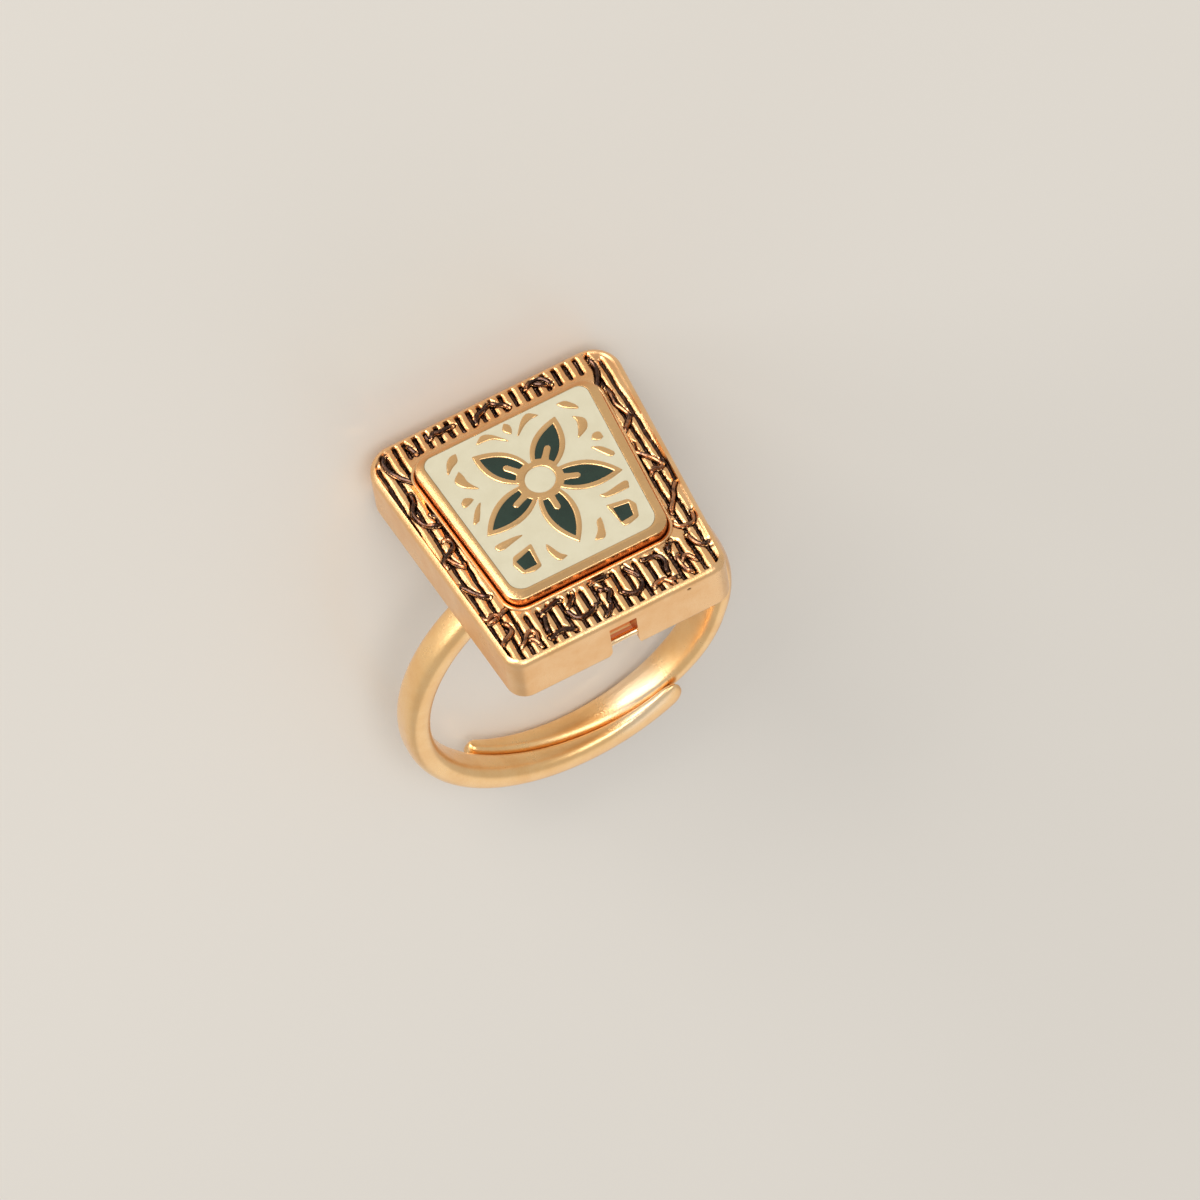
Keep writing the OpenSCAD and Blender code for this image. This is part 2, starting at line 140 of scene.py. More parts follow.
class Board:
    """A material's node tree, filled through one method."""

    bump_reach = 0.03

    def __init__(self, name: str) -> None:
        """Starts an empty material with its output and main shader."""
        self.material = bpy.data.materials.new(name)
        self.material.use_nodes = True
        self.tree = self.material.node_tree
        self.tree.nodes.clear()
        self.shader = self.add("ShaderNodeBsdfPrincipled")
        self.add("ShaderNodeOutputMaterial", None, {"Surface": self.shader.outputs[0]})
        place = self.add("ShaderNodeTexCoord").outputs["Object"]
        self.place = self.mapped(place, (1 / MM,) * 3)

    def add(
        self, kind: str, settings: dict[str, Any] | None = None, inputs: dict[Any, Any] | None = None
    ) -> bpy.types.Node:
        """Adds one node.

        Args:
            kind: The node's type.
            settings: Its properties.
            inputs: Values, sockets or numbers for its sockets.

        Returns:
            The node.
        """
        node = self.tree.nodes.new(kind)
        for key, value in (settings or {}).items():
            setattr(node, key, value)
        for key, value in (inputs or {}).items():
            self.feed(node.inputs[key], value)
        return node

    def feed(self, socket: Socket, value: Any) -> None:
        """Sets or links one socket."""
        if isinstance(value, Value):
            value = value.socket
        if isinstance(value, Socket):
            self.tree.links.new(value, socket)
        elif socket.type == "RGBA" and len(value) == 3:
            socket.default_value = (*value, 1.0)
        else:
            socket.default_value = value

    def mapped(self, source: Socket, scale: Triple, turn: Triple = (0.0, 0.0, 0.0)) -> Socket:
        """Coordinates turned and scaled by a Mapping node."""
        ends = {"Vector": source, "Rotation": turn, "Scale": scale}
        return self.add("ShaderNodeMapping", None, ends).outputs[0]

    def noise(
        self, scale: float, detail: float = 2.0, rough: float = 0.5, source: Socket | None = None
    ) -> Value:
        """Noise with so many blotches a millimetre."""
        ends = {"Vector": source or self.place, "Scale": scale, "Detail": detail, "Roughness": rough}
        return Value(self, self.add("ShaderNodeTexNoise", None, ends).outputs[0])

    def mark(self, name: str) -> Value:
        """A number that the mesh carries."""
        node = self.add("ShaderNodeAttribute", {"attribute_name": name})
        return Value(self, node.outputs["Fac"])

    def blend(self, mask: Any, low: Any, high: Any) -> Socket:
        """Colour that goes from low to high as mask goes from 0 to 1."""
        node = self.add("ShaderNodeMix", {"data_type": "RGBA"}, {0: mask, 6: low, 7: high})
        return node.outputs[2]

    def bump(self, height: Value, strength: float) -> Socket:
        """Normal that is tipped by a height, whose full step is bump_reach millimetres."""
        ends = {"Height": height, "Strength": strength, "Distance": self.bump_reach * MM}
        return self.add("ShaderNodeBump", None, ends).outputs[0]

    def set(self, **inputs: Any) -> None:
        """Feeds the main shader; an underscore stands for a space."""
        for key, value in inputs.items():
            self.feed(self.shader.inputs[key.replace("_", " ")], value)


@dataclass(frozen=True)
class SatinGold:
    """Warm plated gold with a fine satin grain and light scratches.

    A mesh may carry a mark of painted shade, 1 where a gap, a recess or a side in shade is
    painted deep orange, and a mark of polish, 1 where the gold is smoother; where the finish
    sets a sheen, that mark also paints a pale highlight.
    """

    name: str
    light: Colour = (0.93, 0.60, 0.31)
    deep: Colour = (0.86, 0.49, 0.21)
    # Deep orange of painted shade
    fire: Colour = (0.68, 0.19, 0.035)
    # Pale gold of a painted highlight
    pale: Colour = (1.0, 0.86, 0.66)
    rough: float = 0.30
    grain: float = 1.0
    scratched: float = 0.35
    lacquer: float = 0.3
    # How strongly the polish mark also paints a pale highlight
    painted_sheen: float = 0.0

    def scratches(self, board: Board) -> Value:
        """Thin scratches in three directions, 1 where one runs."""
        lines = []
        for turn in ((0.3, 0.2, 0.5), (1.1, 0.4, 2.0), (0.6, 1.3, 1.2)):
            place = board.mapped(board.place, (12.0, 0.22, 12.0), turn)
            lines.append(board.noise(1.0, 0.0, 0.4, place).rise(0.68, 0.74))
        first, second, third = lines
        return first.most(second).most(third) * board.noise(0.35, 1.0).rise(0.45, 0.65)

    def surface(self, board: Board) -> tuple[Socket, Value, Value]:
        """Colour, roughness and height of the bare gold."""
        grain = board.noise(9.0, 4.0, 0.7)
        cloud = board.noise(0.55, 3.0, 0.55)
        scratch = self.scratches(board) * self.scratched
        tone = (cloud.rise(0.35, 0.68) * 0.6 + grain.rise(0.4, 0.7) * 0.25 + scratch * 0.4).kept()
        colour = board.blend(tone, self.light, self.deep)
        # Painted shade: deep orange blended in where the mesh marks a gap, a recess or a side in shade.
        colour = board.blend(board.mark("fire"), colour, self.fire)
        polish = board.mark("polish")
        # Painted highlight: pale gold blended in where the mesh marks a sheen and the finish asks for it.
        colour = board.blend(polish * self.painted_sheen, colour, self.pale)
        rough = grain * 0.10 + cloud * 0.12 + scratch * 0.12 - polish * 0.1 + (self.rough - 0.11)
        height = grain * 0.5 * self.grain + board.noise(2.2, 2.0) * 0.5 - scratch * 0.25
        return colour, rough, height

    def make(self) -> bpy.types.Material:
        """The finished material."""
        board = Board(self.name)
        colour, rough, height = self.surface(board)
        board.set(
            Base_Color=colour,
            Roughness=rough,
            Metallic=1.0,
            Coat_Weight=(1.0 - board.mark("fire")) * self.lacquer,
            Coat_Roughness=0.22,
            Normal=board.bump(height, 0.35),
        )
        return board.material


@dataclass(frozen=True)
class AgedGold(SatinGold):
    """Satin gold whose cast relief is darkened in its low places and on its wires.

    The mesh also carries "patina", 1 in a groove, "wire", 1 on a raised wire, and a mark that
    grows with the copper that shows on a wire: worn copper, and painted light on the right side.
    """

    black: Colour = (0.048, 0.026, 0.019)
    brown: Colour = (0.15, 0.066, 0.038)
    copper: Colour = (0.46, 0.21, 0.10)

    def make(self) -> bpy.types.Material:
        """The finished material."""
        board = Board(self.name)
        colour, rough, height = self.surface(board)
        speck = board.noise(7.0, 3.0, 0.6)
        wire = board.mark("wire")
        # Copper showing through the patina: worn copper, and on the right side's wires painted light
        wear_and_painted_light = board.mark("wear_and_painted_light")
        low = (board.mark("patina") + (speck - 0.5) * 0.5).rise(0.30, 0.62)
        wear_and_painted_light = (wear_and_painted_light + (board.noise(1.6, 2.0) - 0.5) * 1.3).rise(0.42, 0.68)
        dark = board.blend(speck.rise(0.45, 0.7), self.black, self.brown)
        metal = board.blend(wear_and_painted_light, dark, self.copper)
        colour = board.blend(wire, board.blend(low, colour, dark), metal)
        shade = low.most(wire)
        height = height * (1.0 - wire * 0.7)
        board.set(
            Base_Color=colour,
            Roughness=rough - wire * 0.10,
            Metallic=1.0,
            Coat_Weight=low * 0.15 + wire * 0.25,
            Coat_Roughness=0.08,
            Normal=board.bump(height + speck * shade * 0.8, 0.4),
        )
        return board.material


@dataclass(frozen=True)
class Enamel:
    """Hard glossy enamel with a faint cloud in its colour and a soft wave in its face."""

    name: str
    light: Colour
    deep: Colour
    rough: float = 0.24
    coat: float = 0.25

    def make(self) -> bpy.types.Material:
        """The finished material."""
        board = Board(self.name)
        cloud = board.noise(0.8, 3.0, 0.6)
        grain = board.noise(14.0, 2.0, 0.5)
        pit = board.noise(5.0, 1.0, 0.4).rise(0.80, 0.84)
        tone = (cloud.rise(0.3, 0.7) * 0.7 + grain.rise(0.55, 0.8) * 0.3 + pit).kept()
        height = board.noise(1.3, 2.0) * 0.8 + grain * 0.2 - pit
        board.set(
            Base_Color=board.blend(tone, self.light, self.deep),
            Roughness=grain * 0.12 + (self.rough - 0.06),
            IOR=1.5,
            Coat_Weight=self.coat,
            Coat_Roughness=0.1,
            Normal=board.bump(height, 0.25),
        )
        return board.material


class Finish(Enum):
    """The finishes of the ring's pieces, with the record's slot that each belongs to."""

    BEZEL = ("bezel_gold", AgedGold("aged_gold", grain=1.5))
    # The pin's paler gold is a painted highlight.
    PIN = ("bezel_gold", SatinGold("pin_painted_highlight", (1.0, 0.74, 0.44), (0.95, 0.64, 0.35)))
    # The band's third colour is the deep orange of its painted shade, and its sheen setting paints a pale
    # highlight.
    BAND = ("band_gold", SatinGold(
        "band_satin", (1.0, 0.655, 0.30), (0.92, 0.54, 0.21), (0.56, 0.12, 0.016),
        grain=2.6, lacquer=0.6, painted_sheen=0.55,
    ))
    TILE = ("tile_gold", SatinGold(
        "tile_satin", (0.80, 0.50, 0.22), (0.72, 0.42, 0.17), rough=0.27, lacquer=0.9,
    ))
    CREAM = ("cream_enamel", Enamel("cream", (0.55, 0.52, 0.39), (0.51, 0.475, 0.345)))
    GREEN = ("green_enamel", Enamel(
        "green", (0.010, 0.028, 0.019), (0.004, 0.017, 0.011), rough=0.2, coat=0.0,
    ))

    def material(self) -> bpy.types.Material:
        """The finish's material, made once."""
        recipe = self.value[1]
        return bpy.data.materials.get(recipe.name) or recipe.make()


# Meshes


@dataclass(frozen=True)
class Rim:
    """Points round an outline that can be grown: a core, a direction and a radius for each."""

    core: Array
    way: Array
    radius: Array

    def grown(self, g: float) -> Array:
        """The outline's points, moved out by g."""
        return self.core + self.way * (self.radius + g)[:, None]

    def at(self, g: float, z: Any) -> Array:
        """The outline, grown by g, at a height."""
        return raised(self.grown(g), z)


class Skin:
    """A skin that is pulled from ring to ring with extrusions; each ring has as many points."""

    def __init__(self, bm: bmesh.types.BMesh, points: Array, **marks: Mark) -> None:
        """Starts with a created circle that is bent to the first ring, and filled."""
        self.bm = bm
        layers = bm.verts.layers.float
        names = ("patina", "fire", "polish")
        self.layers = {name: layers.get(name) or layers.new(name) for name in names}
        self.verts = list(bmesh.ops.create_circle(bm, segments=len(points), radius=1.0)["verts"])
        self.edges = list({e for v in self.verts for e in v.link_edges})
        self._bend(points, marks)
        self.cap()

    def _bend(self, points: Array, marks: dict[str, Mark]) -> None:
        """Moves the open end onto a ring and writes its marks, which are 0 where not given."""
        for name, layer in self.layers.items():
            row = np.broadcast_to(marks.get(name, 0.0), len(points))
            for vert, value in zip(self.verts, row):
                vert[layer] = value
        for vert, point in zip(self.verts, points):
            vert.co = point

    def to(self, points: Array, **marks: Mark) -> None:
        """Pulls the open end to the next ring, given by its points and their marks."""
        out = bmesh.ops.extrude_edge_only(self.bm, edges=self.edges)["geom"]
        fresh = {g for g in out if isinstance(g, bmesh.types.BMVert)}
        self.verts = [
            next(w for e in v.link_edges if (w := e.other_vert(v)) in fresh) for v in self.verts
        ]
        self.edges = [g for g in out if isinstance(g, bmesh.types.BMEdge) and fresh.issuperset(g.verts)]
        self._bend(points, marks)

    def over(self, rim: Rim, rows: Iterable[Pair], base: float = 0.0) -> None:
        """Pulls the open end over rings of an outline: how far grown, and how high over base."""
        for g, z in rows:
            self.to(rim.at(g, base + z))

    def cap(self) -> None:
        """Closes the open end with one face."""
        bmesh.ops.contextual_create(self.bm, geom=self.edges)


@dataclass(frozen=True)
class Plan:
    """Outline with four rounded corners, wider at the back."""

    front_w: float
    back_w: float
    y0: float
    length: float
    front_r: float
    back_r: float

    def inset(self, by: float, corner: float) -> "Plan":
        """The outline moved in on all sides, with corners of one radius."""
        front_w, back_w, length = (v - 2 * by for v in (self.front_w, self.back_w, self.length))
        return Plan(front_w, back_w, self.y0 + by, length, corner, corner)

    def corners(self) -> tuple[float, list[Triple]]:
        """The sides' lean, and centre and radius of the four corners from the front right."""
        lean = atan2((self.back_w - self.front_w) / 2, self.length)
        fw = self.front_w / 2 - self.front_r * (1 + sin(lean)) / cos(lean)
        bw = self.back_w / 2 - self.back_r * (1 - sin(lean)) / cos(lean)
        front = (self.y0 + self.front_r, self.front_r)
        back = (self.y0 + self.length - self.back_r, self.back_r)
        return lean, [(fw, *front), (bw, *back), (-bw, *back), (-fw, *front)]

    def walk(self, front: int, side: int, back: int, arc: int) -> Rim:
        """Points round the outline from the front's left end.

        Args:
            front: Steps along the front edge.
            side: Steps along each side.
            back: Steps along the back edge.
            arc: Steps round each corner.

        Returns:
            The outline, counterclockwise.
        """
        lean, corner = self.corners()
        turn = [-pi / 2, -lean, pi / 2, pi + lean, 1.5 * pi]
        rows: list[tuple[float, ...]] = []
        last = corner[3]
        for k, (here, steps) in enumerate(zip(corner, (front, side, back, side))):
            for i in range(steps):
                t = i / steps
                rows.append((*(a + (b - a) * t for a, b in zip(last, here)), turn[k]))
            for i in range(arc):
                rows.append((*here, turn[k] + (turn[k + 1] - turn[k]) * i / arc))
            last = here
        x, y, radius, angle = np.array(rows).T
        return Rim(np.column_stack([x, y]), ways_of(angle), radius)

    def facing(self, points: Array) -> Rim:
        """The points of this outline that lie nearest to points outside it."""
        spots = np.array(self.corners()[1])
        best = np.full(len(points), np.inf)
        core = np.zeros_like(points)
        for a, b in zip(spots, np.roll(spots, -1, axis=0)):
            near, gap = nearest(points, a[:2], b[:2])
            core = np.where((gap < best)[:, None], near, core)
            best = np.minimum(best, gap)
        return Rim(core, (points - core) / best[:, None], np.full(len(points), self.front_r))


def raised(flat: Array, z: Any) -> Array:
    """Points of the plane at a height, or at one height a point."""
    return np.column_stack([flat, np.broadcast_to(z, len(flat))])


def curl(points: Line | Array, step: float = 0.07) -> Array:
    """Smooth line through given points, in stretches of about a step."""
    p = np.reshape(points, (-1, 2))
    p = np.vstack([2 * p[0] - p[1], p, 2 * p[-1] - p[-2]])
    line = [p[1]]
    for a, b, c, d in zip(p, p[1:], p[2:], p[3:]):
        n = max(2, round(float(np.hypot(*(c - b))) / step))
        square, cube = 2 * a - 5 * b + 4 * c - d, 3 * b - a - 3 * c + d
        for t in np.linspace(0, 1, n + 1)[1:]:
            line.append(0.5 * (2 * b + (c - a) * t + square * t**2 + cube * t**3))
    return np.array(line)


def nearest(points: Array, a: Array, b: Array) -> tuple[Array, Array]:
    """Places of the stretch from a to b that lie nearest to points, and how far they are."""
    way = b - a
    t = np.clip(((points - a) @ way) / (way @ way), 0, 1)
    near = a + t[:, None] * way
    return near, np.hypot(*(points - near).T)


def run_along(line: Array | Sequence[Pair]) -> Array:
    """Distance along a line at each of its points."""
    return np.concatenate([[0], np.cumsum(np.hypot(*np.diff(line, axis=0).T))])


def ways_of(angles: Array) -> Array:
    """Unit directions at angles."""
    return np.column_stack([np.cos(angles), np.sin(angles)])


def ripple(x: Any, y: Any, scale: float) -> Any:
    """Smooth unevenness between -1 and 1 that repeats nowhere nearby."""
    a = np.sin(x * 1.9 * scale + 1.3 * np.sin(y * 1.1 * scale + 0.7))
    return (a + np.sin(y * 2.3 * scale + 1.7 * np.sin(x * 0.9 * scale + 2.1))) / 2


def soft(t: Any) -> Any:
    """Smooth step of t from 0 to 1."""
    t = np.clip(t, 0, 1)
    return t * t * (3 - 2 * t)


def blank_curve(name: str, kind: str, bevel: float) -> bpy.types.Curve:
    """An empty curve in two or three dimensions with a round bevel."""
    curve = bpy.data.curves.new(name, "CURVE")
    curve.dimensions = kind
    curve.bevel_depth = bevel
    curve.bevel_resolution = 2
    return curve


def curve_mesh(curve: bpy.types.Curve) -> bpy.types.Mesh:
    """Mesh of a curve, whose curve is then gone."""
    holder = bpy.data.objects.new("curve", curve)
    mesh = bpy.data.meshes.new_from_object(holder)
    bpy.data.objects.remove(holder)
    bpy.data.curves.remove(curve)
    return mesh


def wire_mesh(line: Array, radius: Array) -> bpy.types.Mesh:
    """Round wire along a line, with a radius at each point."""
    curve = blank_curve("wire", "3D", 1.0)
    curve.use_fill_caps = True
    spline = curve.splines.new("POLY")
    spline.points.add(len(line) - 1)
    for spot, place, r in zip(spline.points, line, radius):
        spot.co = (*place, 1.0)
        spot.radius = r
    return curve_mesh(curve)


def plate_mesh(outlines: Iterable[Array], low: float, high: float, edge: float) -> bpy.types.Mesh:
    """Flat plate with rounded edges; an outline inside another is a hole.

    Args:
        outlines: Closed outlines.
        low: Height of its underside.
        high: Height of its top.
        edge: Radius of its edges.

    Returns:
        The mesh.
    """
    curve = blank_curve("plate", "2D", edge)
    curve.fill_mode = "BOTH"
    curve.extrude = (high - low) / 2 - edge
    curve.offset = -edge
    for outline in outlines:
        spline = curve.splines.new("POLY")
        spline.points.add(len(outline) - 1)
        for spot, place in zip(spline.points, outline):
            spot.co = (*place, 0.0, 1.0)
        spline.use_cyclic_u = True
    mesh = curve_mesh(curve)
    mesh.transform(Matrix.Translation((0, 0, (high + low) / 2)))
    return mesh


def shown(name: str, data: bpy.types.ID) -> bpy.types.Object:
    """A new object in the scene."""
    thing = bpy.data.objects.new(name, data)
    bpy.context.collection.objects.link(thing)
    return thing


@dataclass
class Piece:
    """One finished piece of the ring."""

    name: str
    finish: Finish
    nodes: tuple[str, ...]
    crease: float = 32.0
    merge: float = 0.0004
    bm: bmesh.types.BMesh = field(default_factory=bmesh.new)

    def join(self, mesh: bpy.types.Mesh, **marks: float) -> None:
        """Adds a mesh, whose vertices get the given marks."""
        first = len(self.bm.verts)
        self.bm.from_mesh(mesh)
        bpy.data.meshes.remove(mesh)
        layers = self.bm.verts.layers.float
        for name, mark in marks.items():
            layer = layers.get(name) or layers.new(name)
            for vert in list(self.bm.verts)[first:]:
                vert[layer] = mark

    def lay_down(self) -> None:
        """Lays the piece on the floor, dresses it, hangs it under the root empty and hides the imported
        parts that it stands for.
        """
        bmesh.ops.remove_doubles(self.bm, verts=self.bm.verts, dist=self.merge)
        bmesh.ops.recalc_face_normals(self.bm, faces=self.bm.faces)
        self.bm.transform(REST.matrix())
        mesh = bpy.data.meshes.new(self.name)
        self.bm.to_mesh(mesh)
        self.bm.free()
        mesh.polygons.foreach_set("use_smooth", [True] * len(mesh.polygons))
        mesh.set_sharp_from_angle(angle=radians(self.crease))
        mesh.materials.append(self.finish.material())
        piece = shown(self.name, mesh)
        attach(piece, "root")
        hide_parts(*self.nodes)
        log.info("%s: %d faces for %s", self.name, len(mesh.polygons), ", ".join(self.nodes))


TILE_PLAN = Plan(9.76, 10.82, 3.18, 10.72, 1.0, 1.0)
BEZEL_PLAN = Plan(13.28, 14.72, 0.0, 15.97, 1.1, 1.65)


# The bezel


@dataclass
class Relief:
    """The cast relief of the bezel's top: grooves, with wires that run over them."""

    pitch: float = 0.643
    first: float = -6.3
    count: int = 20
    half: float = 0.115
    side_half: float = 0.095
    side_length: float = 2.6
    side_drop: float = 0.1
    wander: float = 0.025
    depth: float = 0.30
    ditch: float = 0.09
    front_run: Pair = (0.28, 2.62)
    front_reach: float = 5.3
    back_run: Pair = (14.62, 15.62)
    back_reach: float = 5.4
    # Place of a groove of the side strips, and its two ends
    side: tuple[Triple, ...] = (
        (-6.86, 7.3, 14.9),
        (-6.25, 0.5, 15.5),
        (-5.6, 0.3, 15.6),
        (-5.02, 0.3, 3.4),
        (6.5, 6.3, 14.9),
        (5.97, 0.4, 15.5),
        (5.42, 3.0, 13.6),
    )
    wires: tuple[Line, ...] = (
        # Left side, from the back
        (-6.2, 15.45, -6.45, 15.0, -6.4, 14.4, -6.1, 13.75, -5.6, 13.1),
        (-6.1, 12.6, -6.15, 12.1, -6.5, 11.5, -6.5, 11.0, -6.25, 10.4, -5.65, 10.0),
        (-5.75, 10.9, -5.55, 10.5, -5.65, 10.0),
        (-5.95, 9.05, -5.65, 9.0, -5.6, 8.5, -6.1, 8.2, -6.5, 7.9, -6.5, 7.5),
        (-6.3, 8.1, -6.05, 7.5, -5.7, 7.05, -5.6, 7.3),
        (-6.5, 6.2, -6.35, 5.9, -6.0, 5.3, -5.7, 4.9, -5.4, 4.7),
        (-6.4, 3.85, -6.2, 3.5, -5.8, 3.62, -5.5, 3.45, -5.0, 3.6),
        (-6.25, 3.3, -5.9, 3.25, -5.6, 3.35),
        (-5.55, 2.9, -5.38, 2.5, -5.45, 2.15, -5.8, 1.95, -6.3, 1.7),
        # Right side, from the back
        (6.0, 15.3, 6.1, 14.7, 5.95, 14.1, 5.55, 13.3),
        (5.95, 13.2, 6.0, 12.6, 5.95, 12.0, 6.15, 11.4, 6.2, 10.9, 5.55, 10.2),
        (5.55, 9.25, 5.4, 8.8, 5.7, 8.4, 6.1, 7.9, 6.35, 7.4),
        (5.45, 7.1, 5.8, 7.3, 6.1, 7.2, 6.4, 7.4),
        (6.45, 6.1, 6.1, 5.7, 5.85, 5.2, 5.4, 4.6, 5.35, 4.35),
        (5.0, 3.9, 5.25, 3.45, 5.7, 3.3, 6.1, 3.4, 6.3, 4.0),
        (5.35, 2.8, 5.5, 2.2, 5.7, 1.9, 6.0, 1.75, 6.15, 1.87, 6.2, 1.65),
        # Front, from the left
        (-5.4, 1.1, -5.1, 1.3, -4.8, 1.65, -4.5, 1.7, -4.35, 1.4, -4.5, 0.9),
        (-4.85, 1.3, -4.6, 1.15, -4.4, 0.6),
        (-3.6, 2.3, -3.45, 2.45, -3.0, 2.55, -2.5, 2.68, -2.3, 2.6),
        (-3.45, 2.3, -3.6, 1.9, -3.7, 1.5, -3.72, 1.1),
        (-3.85, 0.85, -3.72, 0.75, -3.4, 0.9, -3.0, 0.95, -2.7, 0.8, -2.4, 0.65),
        (-2.2, 2.0, -1.95, 2.15, -1.7, 2.4, -1.55, 2.7),
        (-2.35, 1.9, -2.1, 1.3, -1.8, 1.1, -1.5, 1.08, -1.2, 1.12, -0.9, 1.3),
        (-0.95, 1.28, -0.75, 1.4, -0.55, 1.38),
        (-0.5, 2.7, 0.0, 2.74, 0.55, 2.68),
        (-0.35, 2.3, -0.15, 2.05, 0.1, 2.0, 0.2, 1.7, 0.0, 1.4, -0.05, 1.0),
        (-0.03, 1.1, -0.1, 0.9, -0.3, 0.75, -0.65, 0.5),
        (0.7, 1.45, 1.0, 1.15, 1.35, 1.0, 1.7, 1.05, 1.95, 1.3, 2.0, 1.7),
        (2.0, 1.6, 1.97, 1.85, 1.85, 2.1, 1.6, 2.5, 1.5, 2.75),
        (2.55, 2.6, 2.9, 2.55, 3.2, 2.5, 3.5, 2.3, 3.6, 1.9, 3.45, 1.55, 3.4, 1.2),
        (2.35, 0.75, 2.6, 0.95, 3.0, 0.95, 3.2, 0.75, 3.4, 0.45),
        (3.15, 0.8, 3.4, 0.78, 3.8, 0.7),
        (4.45, 2.9, 4.2, 2.7, 4.05, 2.4),
        (4.4, 1.9, 4.27, 1.7, 4.25, 1.4, 4.35, 0.9, 4.6, 0.6),
        (4.4, 1.5, 4.7, 1.7, 4.95, 1.4, 5.1, 1.15),
        # Back, from the left
        (-3.6, 15.1, -3.3, 15.3, -2.9, 15.2, -2.5, 15.25, -2.15, 15.2),
        (-4.9, 15.3, -4.75, 14.9, -4.65, 14.6),
        (-1.05, 14.7, -0.75, 15.1, -0.35, 15.25, 0.05, 15.45),
        (0.1, 15.5, 0.4, 15.2, 0.75, 15.0, 0.95, 14.7),
        (2.2, 15.3, 2.7, 15.5, 3.2, 15.45, 3.45, 15.1, 3.55, 14.8),
        (2.7, 15.4, 3.0, 15.15, 3.3, 15.0),
    )
    thick: float = 0.105
    # Copper of the right side's wires, painted light on that side
    right_painted_light: float = 0.62
    worn_knot: float = 0.6
    unworn: float = 0.3
    knot_reach: float = 0.6
    knots: tuple[Pair, ...] = ((-4.7, 1.3), (4.6, 1.4), (3.0, 0.8), (-5.7, 2.2), (-6.0, 8.0), (-6.1, 3.5))

    def grooves(self) -> list[Triple]:
        """Place and the two ends of every groove."""
        rows = list(self.side)
        for k in range(self.count):
            x = self.first + self.pitch * k
            if abs(x) < self.front_reach:
                near, far = self.front_run
                rows.append((x, near + 0.06 * sin(5 * k), far + 0.05 * sin(3 * k)))
            if abs(x) < self.back_reach:
                near, far = self.back_run
                rows.append((x, near, far + 0.05 * sin(4 * k)))
        return rows

    def slope(self, x: Array, y: Array) -> Array:
        """How far the top's two side strips fall away outwards."""
        return self.side_drop * soft(np.abs(x) - 5.7) * soft((y - 0.4) / 1.5)

    def groove_cut(self, x: Array, y: Array) -> Array:
        """Share of the depth that the grooves cut, which wander and fray a little."""
        cut = np.zeros(len(x))
        for gx, y0, y1 in self.grooves():
            off = x - gx - self.wander * ripple(x * 0.2 + gx * 3, y, 1.6)
            d = np.hypot(off, y - np.clip(y, y0, y1))
            half = self.side_half if y1 - y0 > self.side_length else self.half
            wall = half + 0.03 + 0.015 * ripple(gx * 5, y, 2.7)
            cut = np.maximum(cut, 0.84 * soft((wall - d) / 0.09) + 0.16 * soft((0.28 - d) / 0.14))
        return cut

    def wire_gap(self, flat: Array) -> Array:
        """Distance to the nearest wire."""
        near = np.full(len(flat), np.inf)
        for wire in self.wires:
            for a, b in zip(line := curl(wire, 0.15), line[1:]):
                near = np.minimum(near, nearest(flat, a, b)[1])
        return near

    def height(self, flat: Array) -> tuple[Array, Array]:
        """Height and darkening of the top at points of the plane."""
        x, y = flat.T
        slope = self.slope(x, y)
        z = -self.depth * (1 + 0.15 * ripple(x, y, 2.2)) * self.groove_cut(x, y) - slope
        near = self.wire_gap(flat)
        bank = soft((0.2 - near) / 0.12)
        z = np.maximum(z, -0.3 + 0.2 * bank)
        ditch = soft((0.21 - near) / 0.09) * soft((near - 0.05) / 0.06)
        z = z - self.ditch * ditch
        return z, np.maximum(soft((-z - slope - 0.08) / 0.12), 0.85 * ditch)

    def line_of(self, wire: Line) -> tuple[Array, Array]:
        """Middle line and radii of one raised wire, whose two ends dive."""
        flat = curl(wire)
        run = run_along(flat)
        end = np.minimum(run, run[-1] - run)
        x, y = flat.T
        radius = self.thick * (0.45 + 0.55 * soft(end / 0.16)) * (1 + 0.16 * ripple(x, y, 3.1))
        z = -0.035 - 0.06 * soft(1 - end / 0.2) + 0.03 * ripple(x, y, 2.0) - self.slope(x, y)
        return raised(flat, z), radius

    def wear_and_painted_light(self, wire: Line) -> float:
        """How far one wire shows copper: its patina worn down, and on the right side painted light."""
        x, y = np.reshape(wire, (-1, 2)).mean(axis=0)
        # Painted light: the right side's wires show more copper, as light falls on that side.
        if x > 5 and y < 12:
            return self.right_painted_light
        knotted = min(hypot(x - a, y - b) for a, b in self.knots) < self.knot_reach
        return self.worn_knot if knotted else self.unworn


